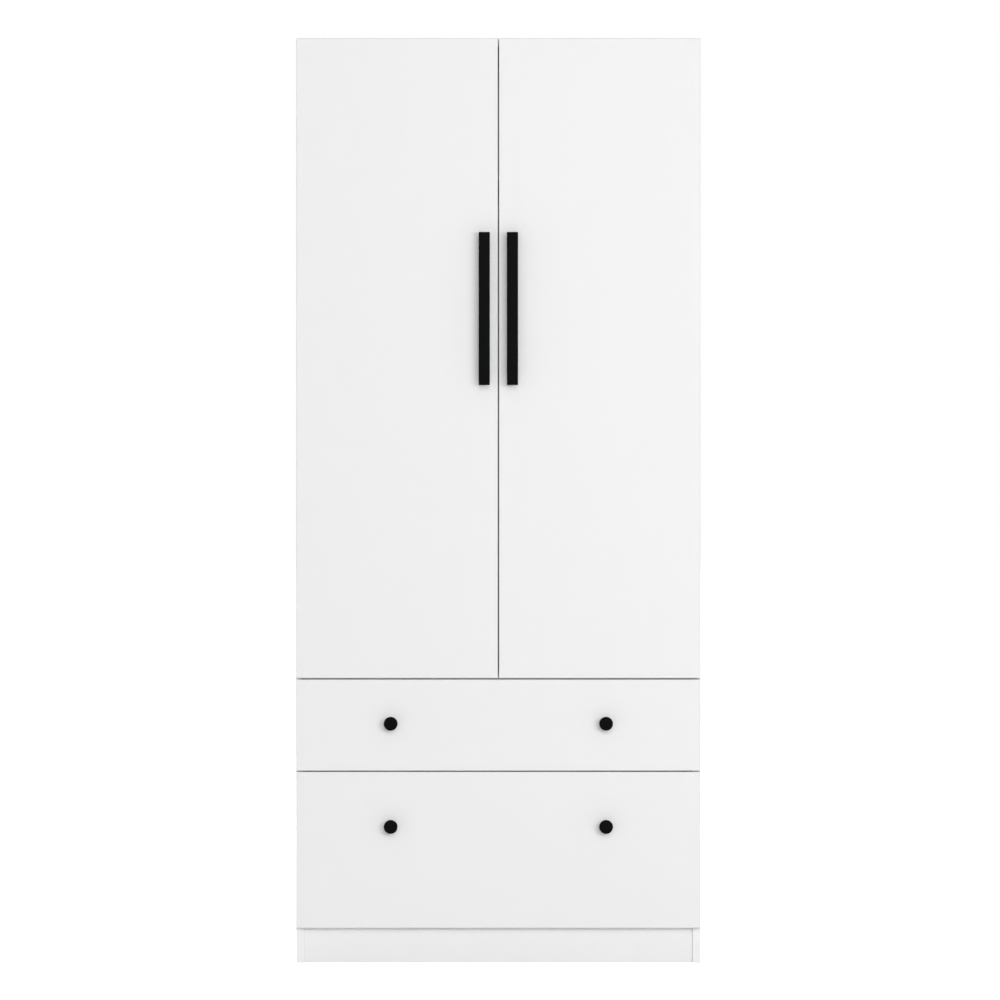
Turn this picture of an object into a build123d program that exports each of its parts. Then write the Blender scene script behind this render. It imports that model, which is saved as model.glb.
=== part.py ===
from build123d import *
import math
import os

# Two-door wardrobe with two drawers, in millimetres.
# +Z is up, +X is to the right as seen from the front, and the front faces -Y.
# The origin is on the floor, in the middle of the overall box, handles included.

# Carcass
WIDTH = 800.0
HEIGHT = 1830.0
CARCASS_DEPTH = 483.0
BOARD = 15.0
PLINTH_HEIGHT = 72.0
PLINTH_SETBACK = 5.0
REAR_PLINTH_SETBACK = 40.0
BACK_BOARD = 3.0
BACK_SETBACK = 10.0
GROOVE_DEPTH = 6.0
STRIP_WALL = 1.2
STRIP_HEIGHT = 24.0

# Doors and drawer fronts
FRONT_BOARD = 16.0
FRONT_GAP = 2.0
FRONT_JOINT = 2.2
DOOR_DRAWER_JOINT = 3.0
TOP_REVEAL = 2.0
SIDE_REVEAL = 1.0
PLINTH_LAP = 2.0
LOWER_FRONT_HEIGHT = 308.6
UPPER_FRONT_HEIGHT = 180.0
EDGE_ROUND = 1.0
BUMPER_RADIUS = 2.8
BUMPER_AIR = 0.4
BUMPER_FROM_MIDDLE = 60.0

# Hat shelf and hanging rod
SHELF_DROP = 250.0
SHELF_SETBACK = 20.0
SHELF_AIR = 0.5
PIN_RADIUS = 2.5
PIN_DEPTH = 8.0
PIN_REACH = 9.0
PIN_HEAD_RADIUS = 4.0
PIN_HEAD_FLAT = 2.5
PIN_FROM_EDGE = 60.0
PIN_HOLE_PITCH = 32.0
ROD_DROP = 60.0
ROD_HEIGHT = 30.0
ROD_WIDTH = 15.0
ROD_WALL = 1.0
SOCKET_BASE = 3.0
SOCKET_COLLAR = 12.0
SOCKET_WALL = 2.0
SOCKET_SCREW_RISE = 23.0
SOCKET_WIDTH = 24.0
SOCKET_ROUND = 8.0

# Cam fittings and dowels
CAM_RADIUS = 7.4
CAM_DISTANCE = 34.0
CAM_PAST_CENTRE = 5.0
CAM_RECESS = 0.4
CAM_FROM_EDGE = 70.0
BOLT_RADIUS = 2.5
BOLT_THREAD = 10.0
BOLT_HEAD_RADIUS = 3.4
BOLT_HEAD_LENGTH = 4.0
BOLT_HOLE_RADIUS = 4.0
DOWEL_RADIUS = 4.0
DOWEL_LENGTH = 30.0
DOWEL_IN_SIDE = 10.0
DOWEL_FROM_CAM = 32.0
HOLE_END_AIR = 0.5

# Wafer-head screws
SCREW_RADIUS = 1.75
SCREW_LENGTH = 11.0
SCREW_HEAD_RADIUS = 3.5
SCREW_HEAD_HEIGHT = 1.8

# Handles and knobs
HANDLE_LENGTH = 302.0
HANDLE_WIDTH = 22.0
HANDLE_BAR = 8.0
HANDLE_PROJECTION = 24.0
HANDLE_FROM_JOINT = 26.7
HANDLE_RISE = 729.5
HANDLE_ROUND = 1.5
POST_SPACING = 256.0
POST_WIDTH = 14.0
POST_HEIGHT = 12.0
KNOB_RADIUS = 13.6
KNOB_PROJECTION = 22.0
KNOB_HEAD = 9.0
KNOB_ROUND = 2.5
KNOB_BASE_RADIUS = 8.0
KNOB_BASE = 2.0
KNOB_NECK_RADIUS = 6.0
KNOB_FROM_MIDDLE = 212.5
UPPER_KNOB_RISE = 93.5
LOWER_KNOB_RISE = 200.8
PULL_SCREW_RADIUS = 2.0
PULL_SCREW_BITE = 11.0
PULL_SCREW_HEAD_RADIUS = 4.0
PULL_SCREW_HEAD_HEIGHT = 2.2

# Concealed hinges: "inboard" counts from the inner face of the side panel towards the middle,
# "forward" from the carcass front edge, and "sunk" from the back of the door into it.
HINGE_FROM_DOOR_END = 100.0
CUP_INBOARD = 8.0
CUP_RADIUS = 17.45
CUP_SUNK = 12.5
CUP_WALL = 0.8
CUP_FLANGE = 0.8
CUP_FLANGE_LAP = 1.2
CUP_WING_LENGTH = 60.0
CUP_WING_WIDTH = 16.0
CUP_WING_ROUND = 6.0
CUP_SCREW_SPACING = 48.0
CUP_SCREW_OFFSET = 6.0
ARM_PIN_1_INBOARD = 21.0
ARM_PIN_1_FORWARD = -9.0
CUP_PIN_1_INBOARD = -4.4
CUP_PIN_1_SUNK = 3.3
ARM_PIN_2_INBOARD = 17.2
ARM_PIN_2_FORWARD = 5.0
CUP_PIN_2_INBOARD = -4.4
CUP_PIN_2_SUNK = 8.0
LINK_1_TURN = 14.0
LINK_1_REACH = 8.5
LINK_2_TURN = 6.0
LINK_2_REACH = 13.0
LINK_WIDTH = 2.8
LINK_2_WIDTH = 2.0
LINK_EYE_RADIUS = 2.1
LINK_2_EYE_RADIUS = 2.0
LINK_TIE_ALONG = 4.7
LINK_TIE_ASIDE = 2.0
LINK_TIE_RADIUS = 0.9
LINK_TIE_EYE_RADIUS = 1.5
HINGE_PIN_RADIUS = 1.0
PIN_RUN_FIT = 0.05
LAYER_AIR = 0.4
LINK_2_HALF = 3.5
ARM_SHEET = 1.0
LINK_1_SHEET = 1.1
OPEN_PIVOT_AIR = 1.95
PIN_IN_CUP_WALL = 2.7
ARM_REAR = 68.0
ARM_NECK = 24.0
ARM_TOP = 13.2
ARM_SKIRT = 9.2
ARM_EYE_RADIUS = 2.6
PLATE_SHEET = 1.5
PLATE_CENTRE = 37.0
PLATE_WIDTH = 18.0
PLATE_LENGTH = 46.0
PLATE_ROUND = 5.0
PLATE_SCREW_SPACING = 32.0
RIB_REAR = 62.0
RIB_FRONT = 28.0

# Drawers and their telescopic slides
BOX_BOARD = 12.0
BOX_LENGTH = 430.0
BOX_BOTTOM = 3.0
BOX_BOTTOM_RISE = 10.0
BOX_GROOVE = 5.0
UPPER_BOX_RISE = 22.0
UPPER_BOX_HEIGHT = 125.0
LOWER_BOX_RISE = 32.0
LOWER_BOX_HEIGHT = 220.0
BOX_CAM_RADIUS = 5.8
BOX_CAM_DEPTH = 9.5
BOX_CAM_DISTANCE = 24.0
BOX_BOLT_HOLE_RADIUS = 3.0
BOX_BOLT_RADIUS = 2.0
BOX_CAM_FROM_END = 22.0
BOX_SCREW_LENGTH = 36.0
BOX_SCREW_FROM_TOP = 14.0
SLIDE_LENGTH = 400.0
SLIDE_HEIGHT = 45.0
SLIDE_THICKNESS = 12.7
SLIDE_SHEET = 1.2
SLIDE_ROUND = 1.1
SLIDE_SETBACK = 2.0
SLIDE_RISE = 48.0
SLIDE_AIR = 0.35
SLIDE_LIP_AIR = 0.7
MIDDLE_RAIL_INSET = 3.4
INNER_RAIL_DEPTH = 6.7
SLIDE_SCREW_FROM_END = 37.0
SLIDE_SCREW_PITCH = 224.0

# Wall-fixing brackets
BRACKET_SHEET = 2.0
BRACKET_WIDTH = 20.0
BRACKET_LEG = 36.0
BRACKET_FROM_MIDDLE = 300.0
BRACKET_HOLE_DROP = 24.0
BRACKET_HOLE_RADIUS = 2.75
BRACKET_SCREW_FROM_WALL = 22.0

# Clearances between pieces of one body
FIT = 0.05
SLOT_AIR = 0.15

# Places worked out from the driving dimensions
X_SIDE = WIDTH / 2
X_INNER = X_SIDE - BOARD
TOTAL_DEPTH = CARCASS_DEPTH + FRONT_GAP + FRONT_BOARD + HANDLE_PROJECTION
Y_REAR = TOTAL_DEPTH / 2
Y_EDGE = Y_REAR - CARCASS_DEPTH
Y_LINING = Y_EDGE - FRONT_GAP
Y_FACE = Y_LINING - FRONT_BOARD
Y_BACK = Y_REAR - BACK_SETBACK - BACK_BOARD
Y_STRIP = Y_BACK - SLOT_AIR - STRIP_WALL
Z_FLOOR_TOP = PLINTH_HEIGHT + BOARD
Z_LOWER_FRONT = PLINTH_HEIGHT - PLINTH_LAP
Z_UPPER_FRONT = Z_LOWER_FRONT + LOWER_FRONT_HEIGHT + FRONT_JOINT
Z_DOOR = Z_UPPER_FRONT + UPPER_FRONT_HEIGHT + DOOR_DRAWER_JOINT
Z_DOOR_TOP = HEIGHT - TOP_REVEAL
Z_MIDDLE = Z_DOOR - DOOR_DRAWER_JOINT / 2
Z_CEILING = HEIGHT - BOARD
Z_SHELF_TOP = Z_CEILING - SHELF_DROP
Z_SHELF = Z_SHELF_TOP - BOARD
Z_ROD = Z_SHELF - ROD_DROP
Y_ROD = (Y_EDGE + Y_BACK) / 2
X_HANDLE = FRONT_JOINT / 2 + HANDLE_FROM_JOINT
Z_HANDLE = Z_DOOR + HANDLE_RISE
HINGE_LEVELS = [
    Z_DOOR + HINGE_FROM_DOOR_END,
    (Z_DOOR + Z_DOOR_TOP) / 2,
    Z_DOOR_TOP - HINGE_FROM_DOOR_END,
]
ARM_INNER_HALF = LINK_2_HALF + LAYER_AIR
ARM_OUTER_HALF = ARM_INNER_HALF + ARM_SHEET
LINK_1_INNER_HALF = ARM_OUTER_HALF + LAYER_AIR
LINK_1_OUTER_HALF = LINK_1_INNER_HALF + LINK_1_SHEET
POCKET_HALF = LINK_1_OUTER_HALF + LAYER_AIR
SLIDE_START = Y_EDGE + SLIDE_SETBACK
X_BOX = X_INNER - SLIDE_THICKNESS
LEFT = (-1, 0, 0)
RIGHT = (1, 0, 0)
FORWARD = (0, -1, 0)
REARWARD = (0, 1, 0)
UP = (0, 0, 1)
DOWN = (0, 0, -1)


def block(x, y, z):
    """A box between two places on each axis."""
    size = (x[1] - x[0], y[1] - y[0], z[1] - z[0])
    return Pos(x[0], y[0], z[0]) * Box(*size, align=(Align.MIN, Align.MIN, Align.MIN))


def rod(radius, start, direction, length):
    """A round bar that starts at a point and runs along a direction."""
    base = (Align.CENTER, Align.CENTER, Align.MIN)
    return Plane(origin=start, z_dir=direction) * Cylinder(radius, length, align=base)


def mirrored(shapes):
    """The same shapes on the other side of the wardrobe."""
    return [mirror(shape, about=Plane.YZ) for shape in shapes]


def both_sides(shapes):
    """The shapes together with their mirror images."""
    return shapes + mirrored(shapes)


def save(name, shapes):
    """Write one node, as a single solid or as a group of separate solids."""
    whole = shapes[0] if len(shapes) == 1 else Compound(children=shapes)
    export_step(whole, f"parts/{name}.step")


def screw(place, length=SCREW_LENGTH):
    """A wafer-head screw whose head rests at a point and whose shank runs along a direction."""
    point, direction = place
    outward = tuple(-part for part in direction)
    shank = rod(SCREW_RADIUS, point, direction, length)
    return shank + rod(SCREW_HEAD_RADIUS, point, outward, SCREW_HEAD_HEIGHT)


def screw_hole(place, length=SCREW_LENGTH):
    """The hole that the shank of a wafer-head screw fills."""
    point, direction = place
    return rod(SCREW_RADIUS + FIT, point, direction, length + HOLE_END_AIR)


def pull_screw(x, z):
    """A machine screw through a front from its back, for a handle or a knob."""
    head = rod(PULL_SCREW_HEAD_RADIUS, (x, Y_LINING, z), REARWARD, PULL_SCREW_HEAD_HEIGHT)
    return head + rod(PULL_SCREW_RADIUS, (x, Y_LINING, z), FORWARD, FRONT_BOARD + PULL_SCREW_BITE)


def pull_screw_hole(x, z):
    """The hole for such a screw through the front and into the handle or knob."""
    length = FRONT_BOARD + PULL_SCREW_BITE + HOLE_END_AIR
    return rod(PULL_SCREW_RADIUS + FIT, (x, Y_LINING, z), FORWARD, length)


def front_panel(x, z):
    """A door or drawer front with softened edges on its outer face."""
    panel = block(x, (Y_FACE, Y_LINING), z)
    return fillet(panel.faces().sort_by(Axis.Y)[0].edges(), EDGE_ROUND)


# Cam joints between the panels, drawn for the left-hand end of each panel
def joint_plane(y, z, facing):
    """Local X runs into the panel from the side panel, local Z out through the cam's face."""
    return Plane(origin=(-X_INNER, y, z), x_dir=RIGHT, z_dir=facing)


def cam_bolt(plane):
    start = (-BOLT_THREAD, 0, 0)
    head_start = (CAM_DISTANCE - BOLT_HEAD_LENGTH, 0, 0)
    bolt = rod(BOLT_RADIUS, start, RIGHT, BOLT_THREAD + CAM_DISTANCE)
    return plane * (bolt + rod(BOLT_HEAD_RADIUS, head_start, RIGHT, BOLT_HEAD_LENGTH))


def cam_lock(plane):
    height = BOARD / 2 + CAM_PAST_CENTRE - CAM_RECESS
    body = rod(CAM_RADIUS, (CAM_DISTANCE, 0, -CAM_PAST_CENTRE), UP, height)
    mouth = rod(BOLT_HOLE_RADIUS, (CAM_DISTANCE - CAM_RADIUS, 0, 0), RIGHT, CAM_RADIUS + BOLT_HEAD_RADIUS)
    return plane * (body - mouth)


def cam_cuts_in_panel(plane):
    reach = rod(BOLT_HOLE_RADIUS, (0, 0, 0), RIGHT, CAM_DISTANCE)
    pocket = rod(CAM_RADIUS + FIT, (CAM_DISTANCE, 0, -CAM_PAST_CENTRE), UP, BOARD / 2 + CAM_PAST_CENTRE)
    return [plane * reach, plane * pocket]


def cam_cut_in_side(plane):
    start = (-BOLT_THREAD - HOLE_END_AIR, 0, 0)
    return plane * rod(BOLT_RADIUS + FIT, start, RIGHT, BOLT_THREAD + HOLE_END_AIR)


def dowel(plane):
    return plane * rod(DOWEL_RADIUS, (-DOWEL_IN_SIDE, 0, 0), RIGHT, DOWEL_LENGTH)


def dowel_hole(plane):
    start = (-DOWEL_IN_SIDE - HOLE_END_AIR, 0, 0)
    return plane * rod(DOWEL_RADIUS + FIT, start, RIGHT, DOWEL_LENGTH + 2 * HOLE_END_AIR)


def joints_of_level_panel(z, rear, facing):
    """Cams near the front and rear of a level panel, each with a dowel further in."""
    front_cam = Y_EDGE + CAM_FROM_EDGE
    rear_cam = rear - CAM_FROM_EDGE
    cams = [joint_plane(y, z, facing) for y in (front_cam, rear_cam)]
    dowels = [joint_plane(y, z, facing) for y in (front_cam + DOWEL_FROM_CAM, rear_cam - DOWEL_FROM_CAM)]
    return cams, dowels


def joints_of_plinth(y, facing):
    """One cam and one dowel in each end of a plinth."""
    third = PLINTH_HEIGHT / 3
    return [joint_plane(y, third, facing)], [joint_plane(y, 2 * third, facing)]


Y_FRONT_PLINTH = Y_EDGE + PLINTH_SETBACK
Y_REAR_PLINTH = Y_REAR - REAR_PLINTH_SETBACK - BOARD
PANEL_JOINTS = {
    "top_panel": joints_of_level_panel(HEIGHT - BOARD / 2, Y_BACK, UP),
    "middle_panel": joints_of_level_panel(Z_MIDDLE, Y_BACK, DOWN),
    "bottom_panel": joints_of_level_panel(Z_FLOOR_TOP - BOARD / 2, Y_BACK, DOWN),
    "front_plinth": joints_of_plinth(Y_FRONT_PLINTH + BOARD / 2, REARWARD),
    "rear_plinth": joints_of_plinth(Y_REAR_PLINTH + BOARD / 2, FORWARD),
}
ALL_CAMS = [plane for cams, dowels in PANEL_JOINTS.values() for plane in cams]
ALL_DOWELS = [plane for cams, dowels in PANEL_JOINTS.values() for plane in dowels]


def jointed(name, panel, more_cuts=()):
    """A panel with the holes for its cams, bolts and dowels cut at both ends."""
    cams, dowels = PANEL_JOINTS[name]
    cuts = [cut for plane in cams for cut in cam_cuts_in_panel(plane)]
    cuts += [dowel_hole(plane) for plane in dowels]
    return panel - both_sides(cuts) - list(more_cuts)


# Screws that go into the left-hand side panel
def slide_level(front_bottom, box_rise):
    """Height of a slide's centre line."""
    return front_bottom + box_rise + SLIDE_RISE


SLIDE_LEVELS = [
    slide_level(Z_LOWER_FRONT, LOWER_BOX_RISE),
    slide_level(Z_UPPER_FRONT, UPPER_BOX_RISE),
]
SLIDE_SCREW_Y = [SLIDE_START + SLIDE_SCREW_FROM_END + step * SLIDE_SCREW_PITCH for step in (0, 1)]


def side_screws():
    """Places of the screws for hinge plates, rod socket and outer slide rails."""
    half = PLATE_SCREW_SPACING / 2
    plate_x = -X_INNER + PLATE_SHEET
    plate_y = Y_EDGE + PLATE_CENTRE
    places = [((plate_x, plate_y, z + s * half), LEFT) for z in HINGE_LEVELS for s in (-1, 1)]
    socket_x = -X_INNER + SOCKET_BASE
    places += [((socket_x, Y_ROD, Z_ROD + s * SOCKET_SCREW_RISE), LEFT) for s in (-1, 1)]
    rail_x = -X_INNER + SLIDE_SHEET
    places += [((rail_x, y, z), LEFT) for z in SLIDE_LEVELS for y in SLIDE_SCREW_Y]
    return places


BRACKET_SCREW = ((-BRACKET_FROM_MIDDLE, Y_BACK - BRACKET_SCREW_FROM_WALL, Z_CEILING - BRACKET_SHEET), UP)
Z_WALL_HOLE = Z_CEILING - BRACKET_HOLE_DROP


def wall_hole():
    """The hole that a wall screw passes through, in the bracket and in the back board."""
    start = (-BRACKET_FROM_MIDDLE, Y_BACK - BRACKET_SHEET, Z_WALL_HOLE)
    return rod(BRACKET_HOLE_RADIUS, start, REARWARD, BRACKET_SHEET + BACK_BOARD)


# Carcass panels
PIN_LEVEL = Z_SHELF - PIN_HEAD_FLAT
SHELF_PIN_Y = (Y_EDGE + SHELF_SETBACK + PIN_FROM_EDGE, Y_BACK - PIN_FROM_EDGE)


def back_groove_y():
    return (Y_BACK - SLOT_AIR, Y_BACK + BACK_BOARD + SLOT_AIR)


def left_side_panel():
    panel = block((-X_SIDE, -X_INNER), (Y_EDGE, Y_REAR), (0, HEIGHT))
    groove = block((-X_INNER - GROOVE_DEPTH, -X_INNER), back_groove_y(), (PLINTH_HEIGHT, HEIGHT))
    cuts = [groove]
    cuts += [cam_cut_in_side(plane) for plane in ALL_CAMS]
    cuts += [dowel_hole(plane) for plane in ALL_DOWELS]
    cuts += [screw_hole(place) for place in side_screws()]
    for y in SHELF_PIN_Y:
        for step in (-1, 0, 1):
            place = (-X_INNER, y, PIN_LEVEL + step * PIN_HOLE_PITCH)
            cuts.append(rod(PIN_RADIUS + FIT, place, LEFT, PIN_DEPTH + HOLE_END_AIR))
    return panel - cuts


def top_panel():
    panel = block((-X_INNER, X_INNER), (Y_EDGE, Y_REAR), (Z_CEILING, HEIGHT))
    groove = block((-X_INNER, X_INNER), back_groove_y(), (Z_CEILING, Z_CEILING + GROOVE_DEPTH))
    return jointed("top_panel", panel, [groove] + both_sides([screw_hole(BRACKET_SCREW)]))


def middle_panel():
    span_z = (Z_MIDDLE - BOARD / 2, Z_MIDDLE + BOARD / 2)
    return jointed("middle_panel", block((-X_INNER, X_INNER), (Y_EDGE, Y_STRIP), span_z))


def bottom_panel():
    panel = block((-X_INNER, X_INNER), (Y_EDGE, Y_REAR), (PLINTH_HEIGHT, Z_FLOOR_TOP))
    groove = block((-X_INNER, X_INNER), back_groove_y(), (Z_FLOOR_TOP - GROOVE_DEPTH, Z_FLOOR_TOP))
    return jointed("bottom_panel", panel, [groove])


def plinth(name, y):
    return jointed(name, block((-X_INNER, X_INNER), (y, y + BOARD), (0, PLINTH_HEIGHT)))


def back_board(z):
    half = X_INNER + GROOVE_DEPTH - SLOT_AIR
    return block((-half, half), (Y_BACK, Y_BACK + BACK_BOARD), z)


def back_joining_strip():
    """A plastic H section that takes the edges of both back boards."""
    half = X_INNER - SLOT_AIR
    slot = back_groove_y()
    outer = (slot[0] - STRIP_WALL, slot[1] + STRIP_WALL)
    body = block((-half, half), outer, (Z_MIDDLE - STRIP_HEIGHT / 2, Z_MIDDLE + STRIP_HEIGHT / 2))
    upper = block((-half, half), slot, (Z_MIDDLE + STRIP_WALL / 2, Z_MIDDLE + STRIP_HEIGHT / 2))
    lower = block((-half, half), slot, (Z_MIDDLE - STRIP_HEIGHT / 2, Z_MIDDLE - STRIP_WALL / 2))
    return body - upper - lower


def hat_shelf():
    half = X_INNER - SHELF_AIR
    return block((-half, half), (Y_EDGE + SHELF_SETBACK, Y_BACK - SHELF_AIR), (Z_SHELF, Z_SHELF_TOP))


def shelf_pin(y):
    """A peg with a half-round head whose flat carries the shelf."""
    peg = rod(PIN_RADIUS, (-X_INNER - PIN_DEPTH, y, PIN_LEVEL), RIGHT, PIN_DEPTH)
    head = rod(PIN_HEAD_RADIUS, (-X_INNER, y, PIN_LEVEL), RIGHT, PIN_REACH)
    over = (PIN_LEVEL + PIN_HEAD_FLAT, PIN_LEVEL + PIN_HEAD_RADIUS)
    spare = block(
        (-X_INNER, -X_INNER + PIN_REACH),
        (y - PIN_HEAD_RADIUS, y + PIN_HEAD_RADIUS),
        over,
    )
    return peg + (head - spare)


def oval(height, width):
    """An upright oval section across the wardrobe, centred on the hanging rod."""
    return Plane(origin=(0, Y_ROD, Z_ROD), x_dir=UP, z_dir=RIGHT) * SlotOverall(height, width)


def hanging_rod():
    length = 2 * (X_INNER - SOCKET_BASE)
    section = oval(ROD_HEIGHT, ROD_WIDTH) - oval(ROD_HEIGHT - 2 * ROD_WALL, ROD_WIDTH - 2 * ROD_WALL)
    return extrude(section, amount=length / 2, dir=RIGHT, both=True)


def rod_socket():
    """A plate with an oval collar around the end of the rod and two screw holes."""
    face = Plane(origin=(-X_INNER, Y_ROD, Z_ROD), x_dir=UP, z_dir=RIGHT)
    height = 2 * (SOCKET_SCREW_RISE + SOCKET_ROUND - 2)
    base = extrude(face * RectangleRounded(height, SOCKET_WIDTH, SOCKET_ROUND), amount=SOCKET_BASE)
    grow = 2 * (SLOT_AIR + SOCKET_WALL)
    ring = SlotOverall(ROD_HEIGHT + grow, ROD_WIDTH + grow)
    ring -= SlotOverall(ROD_HEIGHT + 2 * SLOT_AIR, ROD_WIDTH + 2 * SLOT_AIR)
    seat = face.offset(SOCKET_BASE)
    collar = extrude(seat * ring, amount=SOCKET_COLLAR)
    rises = (-SOCKET_SCREW_RISE, SOCKET_SCREW_RISE)
    starts = [(-X_INNER, Y_ROD, Z_ROD + rise) for rise in rises]
    return base + collar - [rod(SCREW_RADIUS + FIT, start, RIGHT, SOCKET_BASE) for start in starts]


def wall_bracket():
    x = (-BRACKET_FROM_MIDDLE - BRACKET_WIDTH / 2, -BRACKET_FROM_MIDDLE + BRACKET_WIDTH / 2)
    level = block(x, (Y_BACK - BRACKET_LEG, Y_BACK), (Z_CEILING - BRACKET_SHEET, Z_CEILING))
    upright = block(x, (Y_BACK - BRACKET_SHEET, Y_BACK), (Z_CEILING - BRACKET_LEG, Z_CEILING))
    return level + upright - [wall_hole(), screw_hole(BRACKET_SCREW)]


def door_bumper(z):
    return rod(BUMPER_RADIUS, (-BUMPER_FROM_MIDDLE, Y_EDGE, z), FORWARD, FRONT_GAP - BUMPER_AIR)


def build_carcass():
    left = left_side_panel()
    save("left_side_panel", [left])
    save("right_side_panel", mirrored([left]))
    save("top_panel", [top_panel()])
    save("middle_panel", [middle_panel()])
    save("bottom_panel", [bottom_panel()])
    save("front_plinth", [plinth("front_plinth", Y_FRONT_PLINTH)])
    save("rear_plinth", [plinth("rear_plinth", Y_REAR_PLINTH)])
    upper = back_board((Z_MIDDLE + STRIP_WALL / 2 + SLOT_AIR, Z_CEILING + GROOVE_DEPTH - SLOT_AIR))
    save("upper_back_board", [upper - both_sides([wall_hole()])])
    lower = back_board((Z_FLOOR_TOP - GROOVE_DEPTH + SLOT_AIR, Z_MIDDLE - STRIP_WALL / 2 - SLOT_AIR))
    save("lower_back_board", [lower])
    save("back_joining_strip", [back_joining_strip()])
    save("hat_shelf", [hat_shelf()])
    save("shelf_pins", both_sides([shelf_pin(y) for y in SHELF_PIN_Y]))
    save("hanging_rod", [hanging_rod()])
    save("rod_sockets", both_sides([rod_socket()]))
    save("cam_locks", both_sides([cam_lock(plane) for plane in ALL_CAMS]))
    save("cam_bolts", both_sides([cam_bolt(plane) for plane in ALL_CAMS]))
    save("wooden_dowels", both_sides([dowel(plane) for plane in ALL_DOWELS]))
    bumper_levels = (Z_CEILING + BOARD / 2, Z_MIDDLE + BOARD / 2 - BUMPER_RADIUS)
    save("door_bumpers", both_sides([door_bumper(z) for z in bumper_levels]))
    save("wall_brackets", both_sides([wall_bracket()]))
    places = side_screws() + [BRACKET_SCREW]
    save("carcass_screws", both_sides([screw(place) for place in places]))


# Concealed hinges, drawn on the left-hand side around height zero
def hinge_point(inboard, forward):
    return (-X_INNER + inboard, Y_EDGE - forward)


def sunk_point(inboard, sunk):
    return hinge_point(inboard, FRONT_GAP + sunk)


ARM_PIN_1 = hinge_point(ARM_PIN_1_INBOARD, ARM_PIN_1_FORWARD)
CUP_PIN_1 = sunk_point(CUP_PIN_1_INBOARD, CUP_PIN_1_SUNK)
ARM_PIN_2 = hinge_point(ARM_PIN_2_INBOARD, ARM_PIN_2_FORWARD)
CUP_PIN_2 = sunk_point(CUP_PIN_2_INBOARD, CUP_PIN_2_SUNK)
CUP_CENTRE = (-X_INNER + CUP_INBOARD, Y_LINING)


def elbow(cup_pin, turn, reach):
    """Where a cranked link bends after it has passed under the rim of the cup."""
    angle = math.radians(turn)
    return (cup_pin[0] + reach * math.cos(angle), cup_pin[1] - reach * math.sin(angle))


ELBOW_1 = elbow(CUP_PIN_1, LINK_1_TURN, LINK_1_REACH)
ELBOW_2 = elbow(CUP_PIN_2, LINK_2_TURN, LINK_2_REACH)


def slab(sketch, low, high):
    """A level sketch as a plate between two heights."""
    return Pos(0, 0, low) * extrude(sketch, amount=high - low, dir=UP)


def upright_pin(point, low, high, radius=HINGE_PIN_RADIUS):
    return rod(radius, (point[0], point[1], low), UP, high - low)


def link_outline(cup_pin, bend, arm_pin, width, eye):
    """A cranked link with a round eye at each end."""
    spine = trace(Polyline(cup_pin, bend, arm_pin), width)
    corner = Pos(*bend) * Circle(width / 2)
    return spine + corner + Pos(*cup_pin) * Circle(eye) + Pos(*arm_pin) * Circle(eye)


def first_link():
    """Two outer plates tied across by a short bar between the arm and the cup."""
    bore = HINGE_PIN_RADIUS + PIN_RUN_FIT
    along = (Vector(*ARM_PIN_1) - Vector(*ELBOW_1)).normalized()
    aside = Vector(-along.Y, along.X)
    tie = Vector(*ELBOW_1) + along * LINK_TIE_ALONG + aside * LINK_TIE_ASIDE
    outline = link_outline(CUP_PIN_1, ELBOW_1, ARM_PIN_1, LINK_WIDTH, LINK_EYE_RADIUS)
    outline += Pos(tie) * Circle(LINK_TIE_EYE_RADIUS)
    outline -= [Pos(*CUP_PIN_1) * Circle(bore), Pos(*ARM_PIN_1) * Circle(bore)]
    bar = upright_pin((tie.X, tie.Y), -LINK_1_INNER_HALF, LINK_1_INNER_HALF, LINK_TIE_RADIUS)
    upper = slab(outline, LINK_1_INNER_HALF, LINK_1_OUTER_HALF)
    lower = slab(outline, -LINK_1_OUTER_HALF, -LINK_1_INNER_HALF)
    return upper + lower + bar


def second_link():
    """The middle link, with its cup pin fixed in it."""
    outline = link_outline(CUP_PIN_2, ELBOW_2, ARM_PIN_2, LINK_2_WIDTH, LINK_2_EYE_RADIUS)
    outline -= Pos(*ARM_PIN_2) * Circle(HINGE_PIN_RADIUS + PIN_RUN_FIT)
    reach = POCKET_HALF + PIN_IN_CUP_WALL
    return slab(outline, -LINK_2_HALF, LINK_2_HALF) + upright_pin(CUP_PIN_2, -reach, reach)


def hinge_cup():
    """A round cup let into the door, with a flange for two screws and a slot for the links."""
    bowl = rod(CUP_RADIUS, (*CUP_CENTRE, 0), FORWARD, CUP_SUNK)
    flange_face = Plane(origin=(*CUP_CENTRE, 0), x_dir=RIGHT, z_dir=REARWARD)
    wings = Pos(CUP_SCREW_OFFSET, 0) * RectangleRounded(CUP_WING_WIDTH, CUP_WING_LENGTH, CUP_WING_ROUND)
    flange = extrude(flange_face * (Circle(CUP_RADIUS + CUP_FLANGE_LAP) + wings), amount=CUP_FLANGE)
    mouth = Circle(CUP_RADIUS - CUP_WALL) & Rectangle(2 * CUP_RADIUS, 2 * POCKET_HALF)
    pocket = extrude(flange_face.offset(CUP_FLANGE) * mouth, amount=CUP_WALL - CUP_SUNK - CUP_FLANGE)
    reach = POCKET_HALF + PIN_IN_CUP_WALL
    deep = reach + LAYER_AIR
    open_pivot = upright_pin(CUP_PIN_2, -deep, deep, HINGE_PIN_RADIUS + OPEN_PIVOT_AIR)
    pin_bore = upright_pin(CUP_PIN_1, -reach, reach, HINGE_PIN_RADIUS + FIT)
    return bowl + flange - pocket - open_pivot - pin_bore - [screw_hole(p) for p in cup_screw_places()]


def cup_screw_places():
    x = CUP_CENTRE[0] + CUP_SCREW_OFFSET
    half = CUP_SCREW_SPACING / 2
    return [((x, Y_LINING + CUP_FLANGE, side * half), FORWARD) for side in (-1, 1)]


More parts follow.
